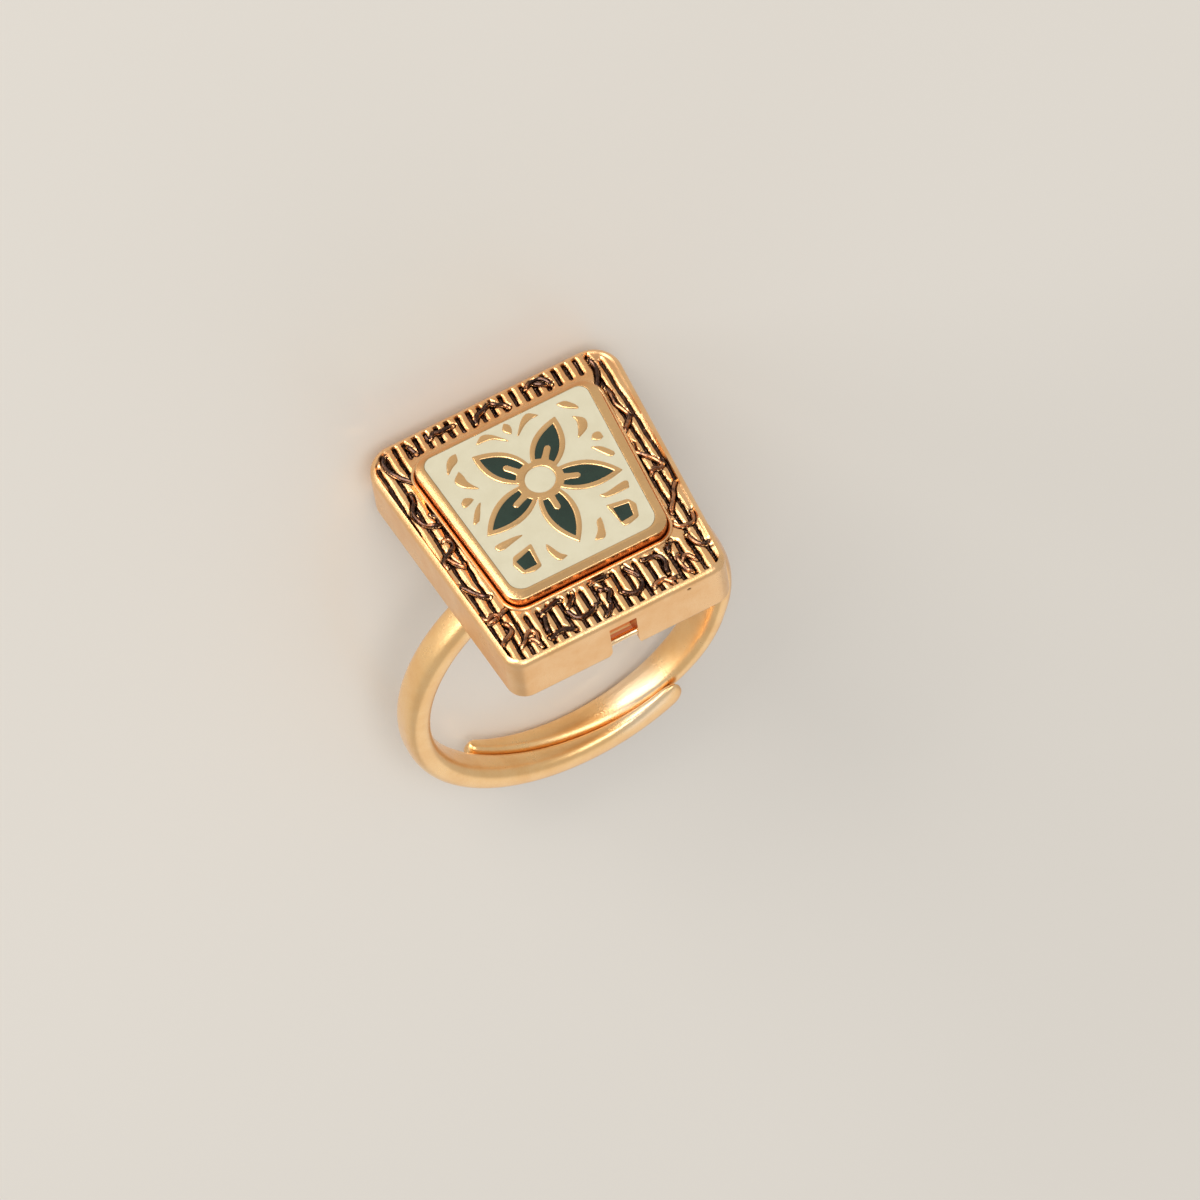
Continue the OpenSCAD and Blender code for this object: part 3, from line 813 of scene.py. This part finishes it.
@dataclass
class Bezel:
    """The cast bezel: relief, lip and pocket above, walls with a notch, and a seat below."""

    height: float = 3.28
    edge: float = 0.4
    foot: float = 0.12
    gap: float = 0.06
    lip_h: float = 0.12
    lip_w: float = 0.24
    pocket: float = 0.75
    notch_half: float = 0.8
    notch_top: float = 0.75
    notch_in: float = 0.9
    notch_zone: Pair = (2.0, 1.2)
    nick: Pair = (4.0, 0.56)
    nick_r: float = 0.11
    nick_in: float = 0.08
    mouth_left: float = 0.5
    mouth_right: float = 0.34
    seat_in: float = 0.84
    seat_top: float = 2.52
    rows: int = 34
    relief: Relief = field(default_factory=Relief)

    def notched(self, points: Array) -> Array:
        """A ring of the walls with the notch, which opens into the seat and widens at its mouth."""
        out = points.copy()
        x, y, z = out.T
        wide, deep = self.notch_zone
        front = (y < deep) & (np.abs(x) < wide)
        inside = front & (np.abs(x) < self.notch_half - 0.01)
        r = np.where(x < 0, self.mouth_left, self.mouth_right)
        down = np.clip((r - self.height - z) / r, 0, 1)
        jamb = self.notch_half + r * (1 - np.sqrt(1 - down**2))
        beside = front & ~inside & (np.abs(x) < jamb) & (y < self.seat_in + 0.1)
        x[beside] = (np.sign(x) * jamb)[beside]
        y[inside] = self.notch_in
        z[inside] = np.maximum(z[inside], -self.seat_top)
        return out

    def nicked(self, points: Array) -> tuple[Array, Array]:
        """A ring of the walls with a small nick in the front wall, and how dark it is."""
        x, y, z = points.T
        far = np.hypot((x - self.nick[0]) / 1.6, z + self.nick[1])
        deep = soft((self.nick_r - far) / 0.09) * (y < 0.5)
        return points + np.outer(deep, (0, self.nick_in, 0)), deep

    def pull_top(self, skin: Skin, inner: Rim, outer: Rim) -> None:
        """Pulls the skin up from the pocket, over the lip, and out over the relief."""
        gap, lip = self.gap, self.lip_h
        # Painted shade: the pocket's top and the lip's foot, in the gap round the tile, are painted deep
        # orange and darkened.
        skin.to(inner.at(gap, -0.2), patina=0.2, fire=1.0)
        for g, z, fire in ((0, 0.3, 1.0), (0.02, 0.75, 0.6), (0.07, 1.0, 0), (0.15, 1.0, 0)):
            skin.to(inner.at(gap + g, lip * z), fire=fire, polish=1.0)
        skin.to(inner.at(gap + 0.2, lip * 0.7))
        low, high = inner.grown(gap + self.lip_w), outer.grown(-self.edge)
        for k in range(self.rows + 1):
            flat = low + (high - low) * (k / self.rows)
            z, patina = self.relief.height(flat)
            # Painted shade: a faint orange that deepens towards the back, where less light falls.
            warm = 0.08 + 0.18 * soft((flat[:, 1] - 13) / 1.6)
            skin.to(raised(flat, z), patina=patina, fire=warm, polish=0.6)
        turns = [(sin(a) - 1, cos(a) - 1) for a in np.radians(range(15, 91, 15))]
        skin.over(outer, [(self.edge * g, self.edge * z) for g, z in turns])

    def pull_walls(self, skin: Skin, outer: Rim) -> None:
        """Pulls the skin down the walls, past the nick and the notch, and into the seat."""
        for z in (-0.44, -0.49, -0.54, -0.59, -0.64, -0.69, -self.notch_top):
            points, dark = self.nicked(outer.at(0, z))
            skin.to(points, patina=dark)
        depths = (-self.notch_top, -1.2, -1.8, -2.4, -2.5, -2.78, -2.88, -2.96, -3.04, -3.1)
        for z in (*depths, -self.height + self.foot):
            cut = self.notched(outer.at(0, z))
            x, y, _ = cut.T
            # Painted shade: the notch's inner wall is painted deep orange and darkened.
            dark = (y > 0.5) & (y < 1) & (np.abs(x) < 1) & (z > -self.seat_top)
            skin.to(cut, patina=0.3 * dark, fire=dark)
        for a in np.radians((30, 60, 90)):
            g, z = self.foot * (cos(a) - 1), self.foot * (1 - sin(a)) - self.height
            skin.to(self.notched(outer.at(g, z)))
        for z in (-self.height, -self.seat_top):
            skin.to(self.notched(outer.at(-self.seat_in, z)))

    def build(self) -> list[Piece]:
        """Shapes the bezel in one skin, from the pocket's floor round to the seat's roof."""
        piece = Piece("bezel_casting", Finish.BEZEL, ("bezel",))
        outer = BEZEL_PLAN.walk(222, 170, 234, 18)
        inner = TILE_PLAN.facing(outer.grown(-self.edge))
        floor = inner.at(self.gap, -self.pocket - self.gap)
        # Painted shade: the pocket's floor is painted deep orange and darkened.
        skin = Skin(piece.bm, floor, patina=0.3, fire=1.0)
        self.pull_top(skin, inner, outer)
        self.pull_walls(skin, outer)
        skin.cap()
        for wire in self.relief.wires:
            mesh = wire_mesh(*self.relief.line_of(wire))
            piece.join(mesh, wire=1.0, wear_and_painted_light=self.relief.wear_and_painted_light(wire))
        return [piece]


@dataclass
class CrossPin:
    """The small pin across the notch, which swells where it meets the jambs."""

    radius: float = 0.19
    inset: float = 0.3
    depth: float = 2.4
    half: float = 1.06
    swell: float = 0.18
    swell_from: float = 0.55
    steps: int = 24

    def build(self) -> list[Piece]:
        """Shapes the pin as a full spin of its outline."""
        piece = Piece("notch_pin", Finish.PIN, ("cross_pin",))
        bm = piece.bm
        polish = bm.verts.layers.float.new("polish")
        along = np.linspace(-self.half, self.half, 15)
        swell = 1 + self.swell * soft((np.abs(along) - self.swell_from) / 0.3)
        outline = [(-self.half, 0.0), *zip(along, self.radius * swell), (self.half, 0.0)]
        verts = [bm.verts.new((x, self.inset, r - self.depth)) for x, r in outline]
        edges = [bm.edges.new(pair) for pair in zip(verts, verts[1:])]
        middle = (0, self.inset, -self.depth)
        whole = {"axis": (1, 0, 0), "angle": 2 * pi, "steps": self.steps, "use_merge": True}
        bmesh.ops.spin(bm, geom=verts + edges, cent=middle, **whole)
        for vert in bm.verts:
            vert[polish] = 1.0
        return [piece]


# The tile


@dataclass
class Flower:
    """Five petals round a disc, each a gold outline with a green cell and a gold finger."""

    middle: Pair = (0.1, 9.33)
    disc: float = 0.82
    hub: float = 1.2
    # Direction in degrees and length of each petal
    petals: tuple[Pair, ...] = (
        (270.0, 4.55), (202.9, 4.42), (128.7, 4.0), (51.3, 4.0), (337.1, 4.42),
    )
    width: float = 0.93
    wall: float = 0.32
    foot: float = 1.27
    finger: float = 0.2
    finger_end: float = 2.15
    # A petal lies within this angle, in radians, of its direction
    spread: float = 1.2

    def turned(self, points: Array, angle: float) -> Array:
        """Points of a petal along +x, turned and moved to their place."""
        a = radians(angle)
        turn = np.array([[cos(a), sin(a)], [-sin(a), cos(a)]])
        return points @ turn + np.array(self.middle)

    def outline(self) -> Array:
        """Outer edge of the whole flower."""
        ways = np.radians(np.arange(0, 360, 0.75))
        reach = np.full(len(ways), self.hub)
        for angle, length in self.petals:
            off = np.abs((ways - radians(angle) + pi) % (2 * pi) - pi)
            held = np.minimum(off, self.spread)
            t = 1 - length * np.tan(held) / (4 * self.width)
            r = np.where((t > 0) & (off < self.spread), length * t / np.cos(held), 0)
            reach = np.maximum(reach, r)
        return ways_of(ways) * reach[:, None] + np.array(self.middle)

    def cell(self, k: int, g: float = 0.0) -> Array:
        """Outline of one green cell, grown by g."""
        angle, length = self.petals[k]
        start, tip = 0.3, length - 0.5
        t = np.linspace(1, 0, 60)
        x, y = start + (tip - start) * t, 4 * (self.width - self.wall) * t * (1 - t) + g
        side = np.column_stack([x, y])[np.hypot(x, y) > self.foot - g]
        side = np.vstack([[tip + 2 * g, 0], side[1:]]) if g else side
        gap = self.finger - g
        corner = sqrt((self.foot - g) ** 2 - gap**2)
        prong = np.array([[corner + 0.05, gap + 0.02], [corner + 0.3, gap]])
        a = np.linspace(pi / 2, 0, 8)
        end = np.column_stack([self.finger_end - gap + gap * np.cos(a) * 1.1, gap * np.sin(a)])
        half = np.vstack([side, prong, end])
        mirror = half[::-1] * np.array([1, -1])
        return self.turned(np.vstack([half, mirror[1:-1]]), angle)

    def ring(self, radius: float) -> Array:
        """Circle about the flower's middle."""
        a = np.linspace(0, 2 * pi, 73)[:-1]
        return ways_of(a) * radius + np.array(self.middle)


@dataclass
class Accents:
    """The loose gold leaves and the two gold blocks round the flower."""

    leaves: tuple[Line, ...] = (
        (-1.8, 13.0, -1.35, 13.32, -0.85, 13.1, -0.24, 12.34, -0.85, 12.85, -1.3, 12.98),
        (-3.06, 13.04, -3.2, 12.62, -3.6, 12.4, -3.98, 12.1, -3.72, 12.7, -3.4, 13.0),
        (-3.42, 11.95, -3.85, 11.5, -3.6, 10.95, -2.98, 10.5, -3.3, 11.1, -3.35, 11.6),
        (-3.55, 10.05, -3.85, 9.9, -4.16, 9.84, -4.18, 10.12, -3.95, 10.3, -3.7, 10.2),
        (-3.32, 9.68, -3.75, 9.35, -4.2, 8.66, -3.9, 8.72, -3.66, 9.1, -3.5, 9.4),
        (-2.34, 6.74, -2.9, 6.84, -3.85, 6.82, -3.85, 6.5, -3.5, 6.48, -2.9, 6.62),
        (-1.5, 5.56, -1.58, 5.1, -1.35, 4.38, -0.88, 4.4, -1.15, 4.7, -1.35, 5.2),
        (1.85, 12.98, 1.4, 13.32, 0.95, 13.1, 0.34, 12.36, 0.9, 12.78, 1.4, 12.98),
        (3.05, 13.06, 3.3, 12.7, 3.9, 12.28, 3.86, 12.55, 3.55, 12.95, 3.3, 13.05),
        (3.42, 11.95, 3.88, 11.5, 3.72, 10.95, 3.08, 10.62, 3.35, 11.1, 3.5, 11.6),
        (3.66, 10.15, 3.85, 10.4, 4.16, 10.36, 4.2, 10.0, 4.0, 9.95, 3.8, 10.02),
        (3.38, 9.72, 3.85, 9.45, 4.25, 8.85, 4.15, 8.7, 3.95, 8.78, 3.6, 9.35),
        (2.38, 6.82, 2.8, 6.78, 3.94, 6.92, 3.92, 6.5, 3.2, 6.5, 2.6, 6.58),
        (1.74, 5.58, 1.5, 5.45, 1.3, 4.95, 0.88, 4.48, 1.38, 4.42, 1.62, 5.0),
        (0.04, 13.4, -0.17, 13.08, -0.06, 12.82, 0.1, 12.68, 0.22, 12.95, 0.22, 13.2),
    )
    blocks: tuple[Line, ...] = (
        (-2.16, 6.06, -3.4, 5.78, -3.64, 5.3, -3.42, 4.55, -2.8, 4.38, -2.3, 4.5),
        (2.32, 6.12, 3.55, 5.88, 3.8, 5.4, 3.55, 4.6, 2.9, 4.42, 2.56, 4.46),
    )
    cells: tuple[Line, ...] = (
        (-2.46, 5.7, -3.36, 5.42, -3.2, 4.74, -2.5, 4.74),
        (2.6, 5.74, 3.44, 5.62, 3.3, 4.84, 2.6, 4.78),
    )
    swell: float = 0.05
    block_corner: float = 0.14
    cell_corner: float = 0.05

    def leaf(self, leaf: Line) -> Array:
        """Smooth outline of one leaf, sharp at its first and fourth point."""
        p = np.reshape(leaf, (-1, 2))
        line = np.vstack([curl(p[:4], 0.08)[:-1], curl(np.vstack([p[3:], p[:1]]), 0.08)[:-1]])
        way = np.roll(line, -1, axis=0) - np.roll(line, 1, axis=0)
        out = np.column_stack([way[:, 1], -way[:, 0]]) / np.hypot(*way.T)[:, None]
        x, y = line.T
        turn = np.sign(np.sum(x * np.roll(y, -1) - y * np.roll(x, -1)))
        return line + out * turn * self.swell

    def block(self, corners: Line, r: float, g: float = 0.0) -> Array:
        """Outline of a block with small rounded corners, grown by g."""
        p = np.reshape(corners, (-1, 2))
        c = p.mean(axis=0)
        p = p + (p - c) / np.hypot(*(p - c).T)[:, None] * g * 1.4
        out = []
        for a, b, d in zip(np.roll(p, 1, axis=0), p, np.roll(p, -1, axis=0)):
            u, w = (a - b) / np.hypot(*(a - b)), (d - b) / np.hypot(*(d - b))
            for t in np.linspace(0, 1, 6):
                out.append(b + r * (u * (1 - t) ** 2 + w * t**2))
        return np.array(out)

    def outlines(self) -> list[Array]:
        """Outlines of the blocks, of the cells in them and of the leaves."""
        blocks = [self.block(b, self.block_corner) for b in self.blocks]
        cells = [self.block(c, self.cell_corner) for c in self.cells]
        return [*blocks, *cells, *map(self.leaf, self.leaves)]


@dataclass
class Tile:
    """The gold tile with its raised rim, cell walls and enamels."""

    top: float = 0.8
    pocket: float = 0.75
    edge: float = 0.1
    crown: float = 0.08
    crown_power: float = 1.6
    floor: float = 0.45
    enamel: float = 0.765
    green_top: float = 0.782
    green_gap: float = 0.012
    inside: Plan = Plan(8.78, 9.74, 3.70, 9.85, 0.85, 0.6)
    flower: Flower = field(default_factory=Flower)
    accents: Accents = field(default_factory=Accents)

    def body(self) -> Piece:
        """Shapes the gold tile with its rim and all the gold inside it."""
        piece = Piece("tile_gold_work", Finish.TILE, ("tile",), crease=38.0)
        steps = (72, 90, 84, 14)
        out, cell = TILE_PLAN.walk(*steps), self.inside.walk(*steps)
        skin = Skin(piece.bm, out.at(-0.04, -self.pocket))
        lift = self.top - self.edge - self.crown
        # Painted shade: the tile's outer wall, down in the gap, is painted deep orange.
        for z in (-self.pocket + 0.04, 0.2, lift):
            skin.to(out.at(0, z), fire=0.75)
        for a in np.radians((15, 30, 45, 60, 72)):
            g, z = self.edge * (cos(a) - 1), lift + self.edge * sin(a)
            skin.to(out.at(g, z), polish=0.7)
        low, high = out.grown(-self.edge), cell.grown(0.05)
        for t in (0.0, 0.15, 0.3, 0.5, 0.75, 1.0):
            flat = low + (high - low) * t
            # Painted shade: the tile's gold turns deeper orange towards the back.
            warm = 0.4 * soft((flat[:, 1] - 12.9) / 0.7)
            z = self.top - self.crown * (1 - t) ** self.crown_power
            skin.to(raised(flat, z), fire=warm, polish=0.7)
        fall = ((0.02, -0.008), (0.005, -0.03), (0.0, -0.07), (0.0, self.floor - self.top))
        skin.over(cell, fall, self.top)
        skin.cap()
        flower = self.flower
        holes = [*map(flower.cell, range(5)), flower.ring(flower.disc)]
        outlines = [flower.outline(), *holes, *self.accents.outlines()]
        piece.join(plate_mesh(outlines, self.floor - 0.02, self.top + 0.012, 0.07), polish=0.5)
        return piece

    def cream(self) -> list[Piece]:
        """Shapes the cream field, which climbs a little at the rim, and the cream disc."""
        sheet = Piece("cream_field", Finish.CREAM, ("enamel_field",))
        rim = self.inside.walk(60, 80, 70, 10)
        skin = Skin(sheet.bm, rim.at(-0.012, self.floor + 0.01))
        skin.over(rim, ((-0.012, 0.012), (-0.05, 0.008), (-0.12, 0.001), (-0.22, 0.0)), self.enamel)
        skin.cap()
        disc = Piece("cream_disc", Finish.CREAM, ("enamel_disc",))
        radius = self.flower.disc - 0.01
        skin = Skin(disc.bm, raised(self.flower.ring(radius), self.floor + 0.01))
        for share, z in ((1.0, 0.01), (0.95, 0.016), (0.8, 0.022), (0.5, 0.027), (0.2, 0.029)):
            skin.to(raised(self.flower.ring(radius * share), self.enamel + z))
        skin.cap()
        return [sheet, disc]

    def green(self) -> list[Piece]:
        """Shapes the green enamel of the five petals and the two blocks."""
        flower, accents = self.flower, self.accents
        rows = [("petal", str(k + 1), flower.cell(k, self.green_gap)) for k in range(5)]
        for side, corners in zip(("left", "right"), accents.cells):
            rows.append(("block", side, accents.block(corners, accents.cell_corner, 0.01)))
        pieces = []
        for kind, place, outline in rows:
            piece = Piece(f"{kind}_green_{place}", Finish.GREEN, (f"enamel_{kind}_{place}",))
            piece.join(plate_mesh([outline], self.floor + 0.01, self.green_top, self.green_gap))
            pieces.append(piece)
        return pieces

    def build(self) -> list[Piece]:
        """All pieces of the tile."""
        return [self.body(), *self.cream(), *self.green()]


# The band


@dataclass
class Station:
    """A section of an arm: its arc's centre across and in depth, two radii and an angle."""

    x: float
    depth: float
    r_in: float
    r_out: float
    angle: float

    def spot(self) -> Pair:
        """Place across and depth of the section's middle."""
        r = (self.r_in + self.r_out) / 2
        return self.x + r * cos(self.angle), self.depth - r * sin(self.angle)


@dataclass
class Arm:
    """One arm of the band, as arcs of the finger's circle with a rounded section."""

    stations: list[Station] = field(default_factory=list)
    power_out: float = 2.8
    power_in: float = 2.6
    blunt: float = 0.06

    def turn(self, centre: Pair, r_in: float, r_out: float, arc: Arc) -> None:
        """Adds stations along an arc.

        Args:
            centre: Place across and depth of the arc's centre.
            r_in: Inner radius.
            r_out: Outer radius.
            arc: Its two angles in degrees, and its number of steps.
        """
        start, end, steps = arc
        for a in np.linspace(start, end, steps + 1):
            station = Station(*centre, r_in, r_out, radians(a))
            if not self.stations or station != self.stations[-1]:
                self.stations.append(station)

    def sink(self, count: int) -> None:
        """Thins the first stations from inside, so that the arm runs out into the plate."""
        for k, station in enumerate(self.stations[:count]):
            thin = (station.r_out - station.r_in) * 0.95 * (1 - float(soft(k / count)))
            station.r_in += thin

    def section(self, half_y: float, half_r: float) -> Array:
        """Crowned section about its middle: across the wall, and along the finger."""
        a = np.linspace(0, 2 * pi, 45)[:-1]
        c, s = np.cos(a), np.sin(a)
        power = 2 / np.where(c > 0, self.power_out, self.power_in)
        across = np.sign(c) * np.abs(c) ** power * half_r
        return np.column_stack([across, np.sign(s) * np.abs(s) ** power * half_y])

    def rings(self, limit: Callable[[float, float], Pair], nose: float) -> list[Array]:
        """Rings of the arm.

        Args:
            limit: Gives the least and the greatest y at a place across and a depth.
            nose: Length of the rounded nose at the last station.

        Returns:
            The rings from the first station to the nose.
        """
        rings = []
        spots = [station.spot() for station in self.stations]
        run = run_along(spots)
        for station, spot, s in zip(self.stations, spots, run):
            y0, y1 = limit(*spot)
            t = min(1.0, (run[-1] - s) / nose)
            k = self.blunt + (1 - self.blunt) * sqrt(max(0.0, 1 - (1 - t) ** 2))
            half_r = (station.r_out - station.r_in) / 2
            across, along = self.section((y1 - y0) / 2 * k, half_r * k).T
            rr = (station.r_in + station.r_out) / 2 - half_r * (1 - k) * 0.5 + across
            x = station.x + rr * cos(station.angle)
            z = rr * sin(station.angle) - station.depth
            rings.append(np.column_stack([x, (y0 + y1) / 2 + along, z]))
        return rings


@dataclass
class Band:
    """The open band: two arms that pass side by side under the finger, and a base plate."""

    finger: float = 8.5
    centre: Pair = (-0.67, 13.85)
    front_out: float = 10.04
    front_up_out: float = 11.3
    back_centre: Pair = (-1.1, 12.9)
    back_out: float = 10.4
    back_wall: float = 1.2
    # The front arm's arc at the plate, and its lower arc with the nose
    front_up: Arc = (76, 178, 85)
    front_low: tuple[Arc, Arc] = ((180, 300, 72), (300.5, 309, 24))
    front_sunk: int = 16
    front_nose: float = 1.15
    # Where the back arm leaves the plate, its end, and the end of its nose, in degrees
    back_ends: Triple = (100, -128, -133)
    back_sunk: int = 14
    back_nose: float = 0.65
    front_y: Pair = (6.62, 8.6)
    # Painted shade on the arms' outer faces under the finger
    outer_shade: float = 0.26
    # Place across of the painted highlight inside the lower arms
    highlight_x: float = 3.1
    back_y: Pair = (6.85, 9.4)
    seam: float = 7.74
    slope: float = -0.105
    pass_half: float = 0.012
    plate: Pair = (2.58, 3.22)
    plate_in: float = 0.9
    plate_corner: float = 0.6
    glow_reach: float = 1.2

    def seam_at(self, x: float) -> float:
        """Where the plane between the arms lies at a place across."""
        return self.seam + self.slope * x

    def front_limit(self, x: float, depth: float) -> Pair:
        """Ends of the front arm's section along the finger."""
        low, high = self.front_y
        part = float(soft((depth - self.centre[1]) / 1.2))
        cut = min(high, self.seam_at(x) - self.pass_half)
        return low, high + (cut - high) * part

    def back_limit(self, x: float, depth: float) -> Pair:
        """Ends of the back arm's section along the finger."""
        low, high = self.back_y
        part = float(soft((depth - self.back_centre[1]) / 1.2))
        cut = max(low, self.seam_at(x) + self.pass_half)
        return low + (cut - low) * part, high

    def front_arm(self) -> list[Array]:
        """Rings of the front arm, which leaves the plate on a wider arc."""
        x, depth = self.centre
        wall = self.front_out - self.finger
        up = (x + self.front_up_out - self.front_out, depth)
        arm = Arm()
        arm.turn(up, self.front_up_out - wall, self.front_up_out, self.front_up)
        arm.sink(self.front_sunk)
        for arc in self.front_low:
            arm.turn(self.centre, self.finger, self.front_out, arc)
        return arm.rings(self.front_limit, self.front_nose)

    def back_arm(self) -> list[Array]:
        """Rings of the back arm, whose two arcs meet where they have one tangent."""
        x, depth = self.centre
        across, down = x - self.back_centre[0], self.back_centre[1] - depth
        low_out = self.finger + self.back_wall
        lift = self.back_out - low_out
        meet = degrees(atan2(down, across) + acos(lift / hypot(across, down)))
        arm = Arm()
        start, end, nose = self.back_ends
        arm.turn(self.back_centre, self.back_out - self.back_wall, self.back_out, (start, meet, 78))
        arm.sink(self.back_sunk)
        for arc in ((meet, end, 66), (end - 0.4, nose, 14)):
            arm.turn(self.centre, self.finger, low_out, arc)
        return arm.rings(self.back_limit, self.back_nose)

    def wear_and_painted_light(self, points: Array) -> dict[str, Mark]:
        """Marks of an arm's ring: painted shade outside under the finger, and inside a painted highlight
        where the gold is also smoother.
        """
        side = Arm().section(1.0, 1.0)[:, 0]
        x = float(points[:, 0].mean())
        # Painted shade: the arms' outer faces turn deeper orange under the finger.
        tint = self.outer_shade * soft(side / 0.9) * soft((x + 7.5) / 4.5)
        # Painted highlight: pale, smoother gold inside the lower arms where the highlight falls.
        low = float(points[:, 2].mean()) < -self.centre[1]
        painted_highlight = soft(-side / 0.6) * soft(1.25 - abs(x - self.highlight_x) / 2.1) * low
        return {"fire": tint, "polish": painted_highlight}

    def build(self) -> list[Piece]:
        """Shapes the two arms and the base plate, which is painted deep orange shade where the notch
        shows it.
        """
        piece = Piece("open_band", Finish.BAND, ("band",))
        for rings in (self.front_arm(), self.back_arm()):
            skin = Skin(piece.bm, rings[0], **self.wear_and_painted_light(rings[0]))
            for ring in rings[1:]:
                skin.to(ring, **self.wear_and_painted_light(ring))
            skin.cap()
        rim = BEZEL_PLAN.inset(self.plate_in, self.plate_corner).walk(40, 50, 44, 8)
        top, low = -self.plate[0], -self.plate[1]
        x, y = rim.grown(0).T
        # Painted shade: the plate's front behind the notch is painted deep orange.
        notch = (np.abs(x) < self.glow_reach) & (y < self.glow_reach)
        skin = Skin(piece.bm, rim.at(-0.08, top))
        edge = ((-0.05, 0.03, 0), (-0.015, 0.09, 0), (0, 0.14, 0.8), (0, 0.17, 1))
        for g, z, fire in (*edge, (0, 0.54, 1), (-0.03, 0.61, 0)):
            skin.to(rim.at(g, top - z), fire=fire * notch)
        skin.to(rim.at(-0.1, low))
        skin.cap()
        return [piece]


# The studio


@dataclass
class Studio:
    """Pale floor, soft lights and the camera at the photograph's angle."""

    right: Triple = (0.8817, -0.4635, -0.0878)
    down: Triple = (-0.4365, -0.7310, -0.5245)
    # Pixels a millimetre in a picture that is so many pixels wide
    scale: float = 19.0
    pixels: int = 1200
    sensor: float = 36.0
    far: float = 700.0
    aim: Pair = (1.139, 0.888)
    around: Colour = (1.0, 0.97, 0.93)
    around_glow: float = 0.58

    def axes(self) -> tuple[Vector, Vector, Vector]:
        """The picture's right, down and forward directions in the drawing plane."""
        right, down = Vector(self.right).normalized(), Vector(self.down)
        down = (down - right * down.dot(right)).normalized()
        return right, down, right.cross(down)

    def camera(self) -> None:
        """Puts the camera where the photograph was taken."""
        right, down, ahead = self.axes()
        spot = -right * self.aim[0] - down * self.aim[1] - ahead * self.far
        data = bpy.data.cameras.new("camera")
        data.sensor_width = self.sensor
        data.lens = self.sensor * self.scale * self.far / self.pixels
        data.clip_start, data.clip_end = 0.05, 10.0
        view = shown("camera", data)
        turn = Matrix((REST.turned(right), -REST.turned(down), -REST.turned(ahead))).transposed()
        view.matrix_world = Matrix.Translation(REST.to_floor(spot)) @ turn.to_4x4()
        bpy.context.scene.camera = view

    def softbox(
        self, name: str, way: Triple, far: float, size: float, glow: float, tint: Colour
    ) -> None:
        """Adds a square soft light.

        Args:
            name: The light's name.
            way: Direction of the light from the ring, in picture right, down and ahead.
            far: Its distance in metres.
            size: Its side in metres.
            glow: How bright its face is.
            tint: Its colour.
        """
        axes = [REST.turned(a) for a in self.axes()]
        aim = sum((a * w for a, w in zip(axes, way)), Vector()).normalized()
        data = bpy.data.lights.new(name, "AREA")
        data.shape, data.size, data.color = "SQUARE", size, tint
        data.energy = glow * pi * size**2
        turn = aim.to_track_quat("Z", "Y").to_matrix().to_4x4()
        shown(name, data).matrix_world = Matrix.Translation(aim * far) @ turn

    def floor(self) -> None:
        """Lays the pale floor under the ring."""
        bm = bmesh.new()
        bmesh.ops.create_grid(bm, x_segments=8, y_segments=8, size=0.9)
        mesh = bpy.data.meshes.new("floor")
        bm.to_mesh(mesh)
        bm.free()
        board = Board("floor_pale")
        cloud = board.noise(0.012, 2.0)
        tone = board.blend(cloud.rise(0.3, 0.7), (0.76, 0.735, 0.69), (0.73, 0.705, 0.66))
        board.set(Base_Color=tone, Roughness=cloud * 0.1 + 0.17, IOR=1.5)
        mesh.materials.append(board.material)
        ground = shown("floor", mesh)

    def light(self) -> None:
        """Sets the lights and the pale surroundings."""
        world = bpy.data.worlds.new("studio")
        world.use_nodes = True
        back = world.node_tree.nodes["Background"]
        back.inputs["Color"].default_value = (*self.around, 1.0)
        back.inputs["Strength"].default_value = self.around_glow
        bpy.context.scene.world = world
        bpy.context.scene.view_settings.view_transform = "Standard"
        warm, white = (1.0, 0.95, 0.88), (1.0, 0.98, 0.96)
        self.softbox("key", (-0.46, -0.334, -0.822), 0.6, 0.28, 8.0, warm)
        self.softbox("overhead", (0.2, 0.15, -0.97), 0.8, 0.4, 3.5, white)
        self.softbox("horizon", (0.46, 0.73, 0.35), 0.6, 0.5, 0.32, white)
        self.softbox("left", (-0.75, 0.1, -0.65), 0.6, 0.26, 3.5, white)

    def build(self) -> None:
        """Makes the whole stage."""
        self.camera()
        self.floor()
        self.light()
        log.info("studio: camera, floor and lights")


def main() -> None:
    """Builds the ring's pieces in order, and then the studio."""
    logging.basicConfig(level=logging.INFO, format="%(message)s")
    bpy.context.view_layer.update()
    for maker in (Bezel(), CrossPin(), Band(), Tile()):
        for piece in maker.build():
            piece.lay_down()
    Studio().build()


if __name__ == "__main__":
    main()
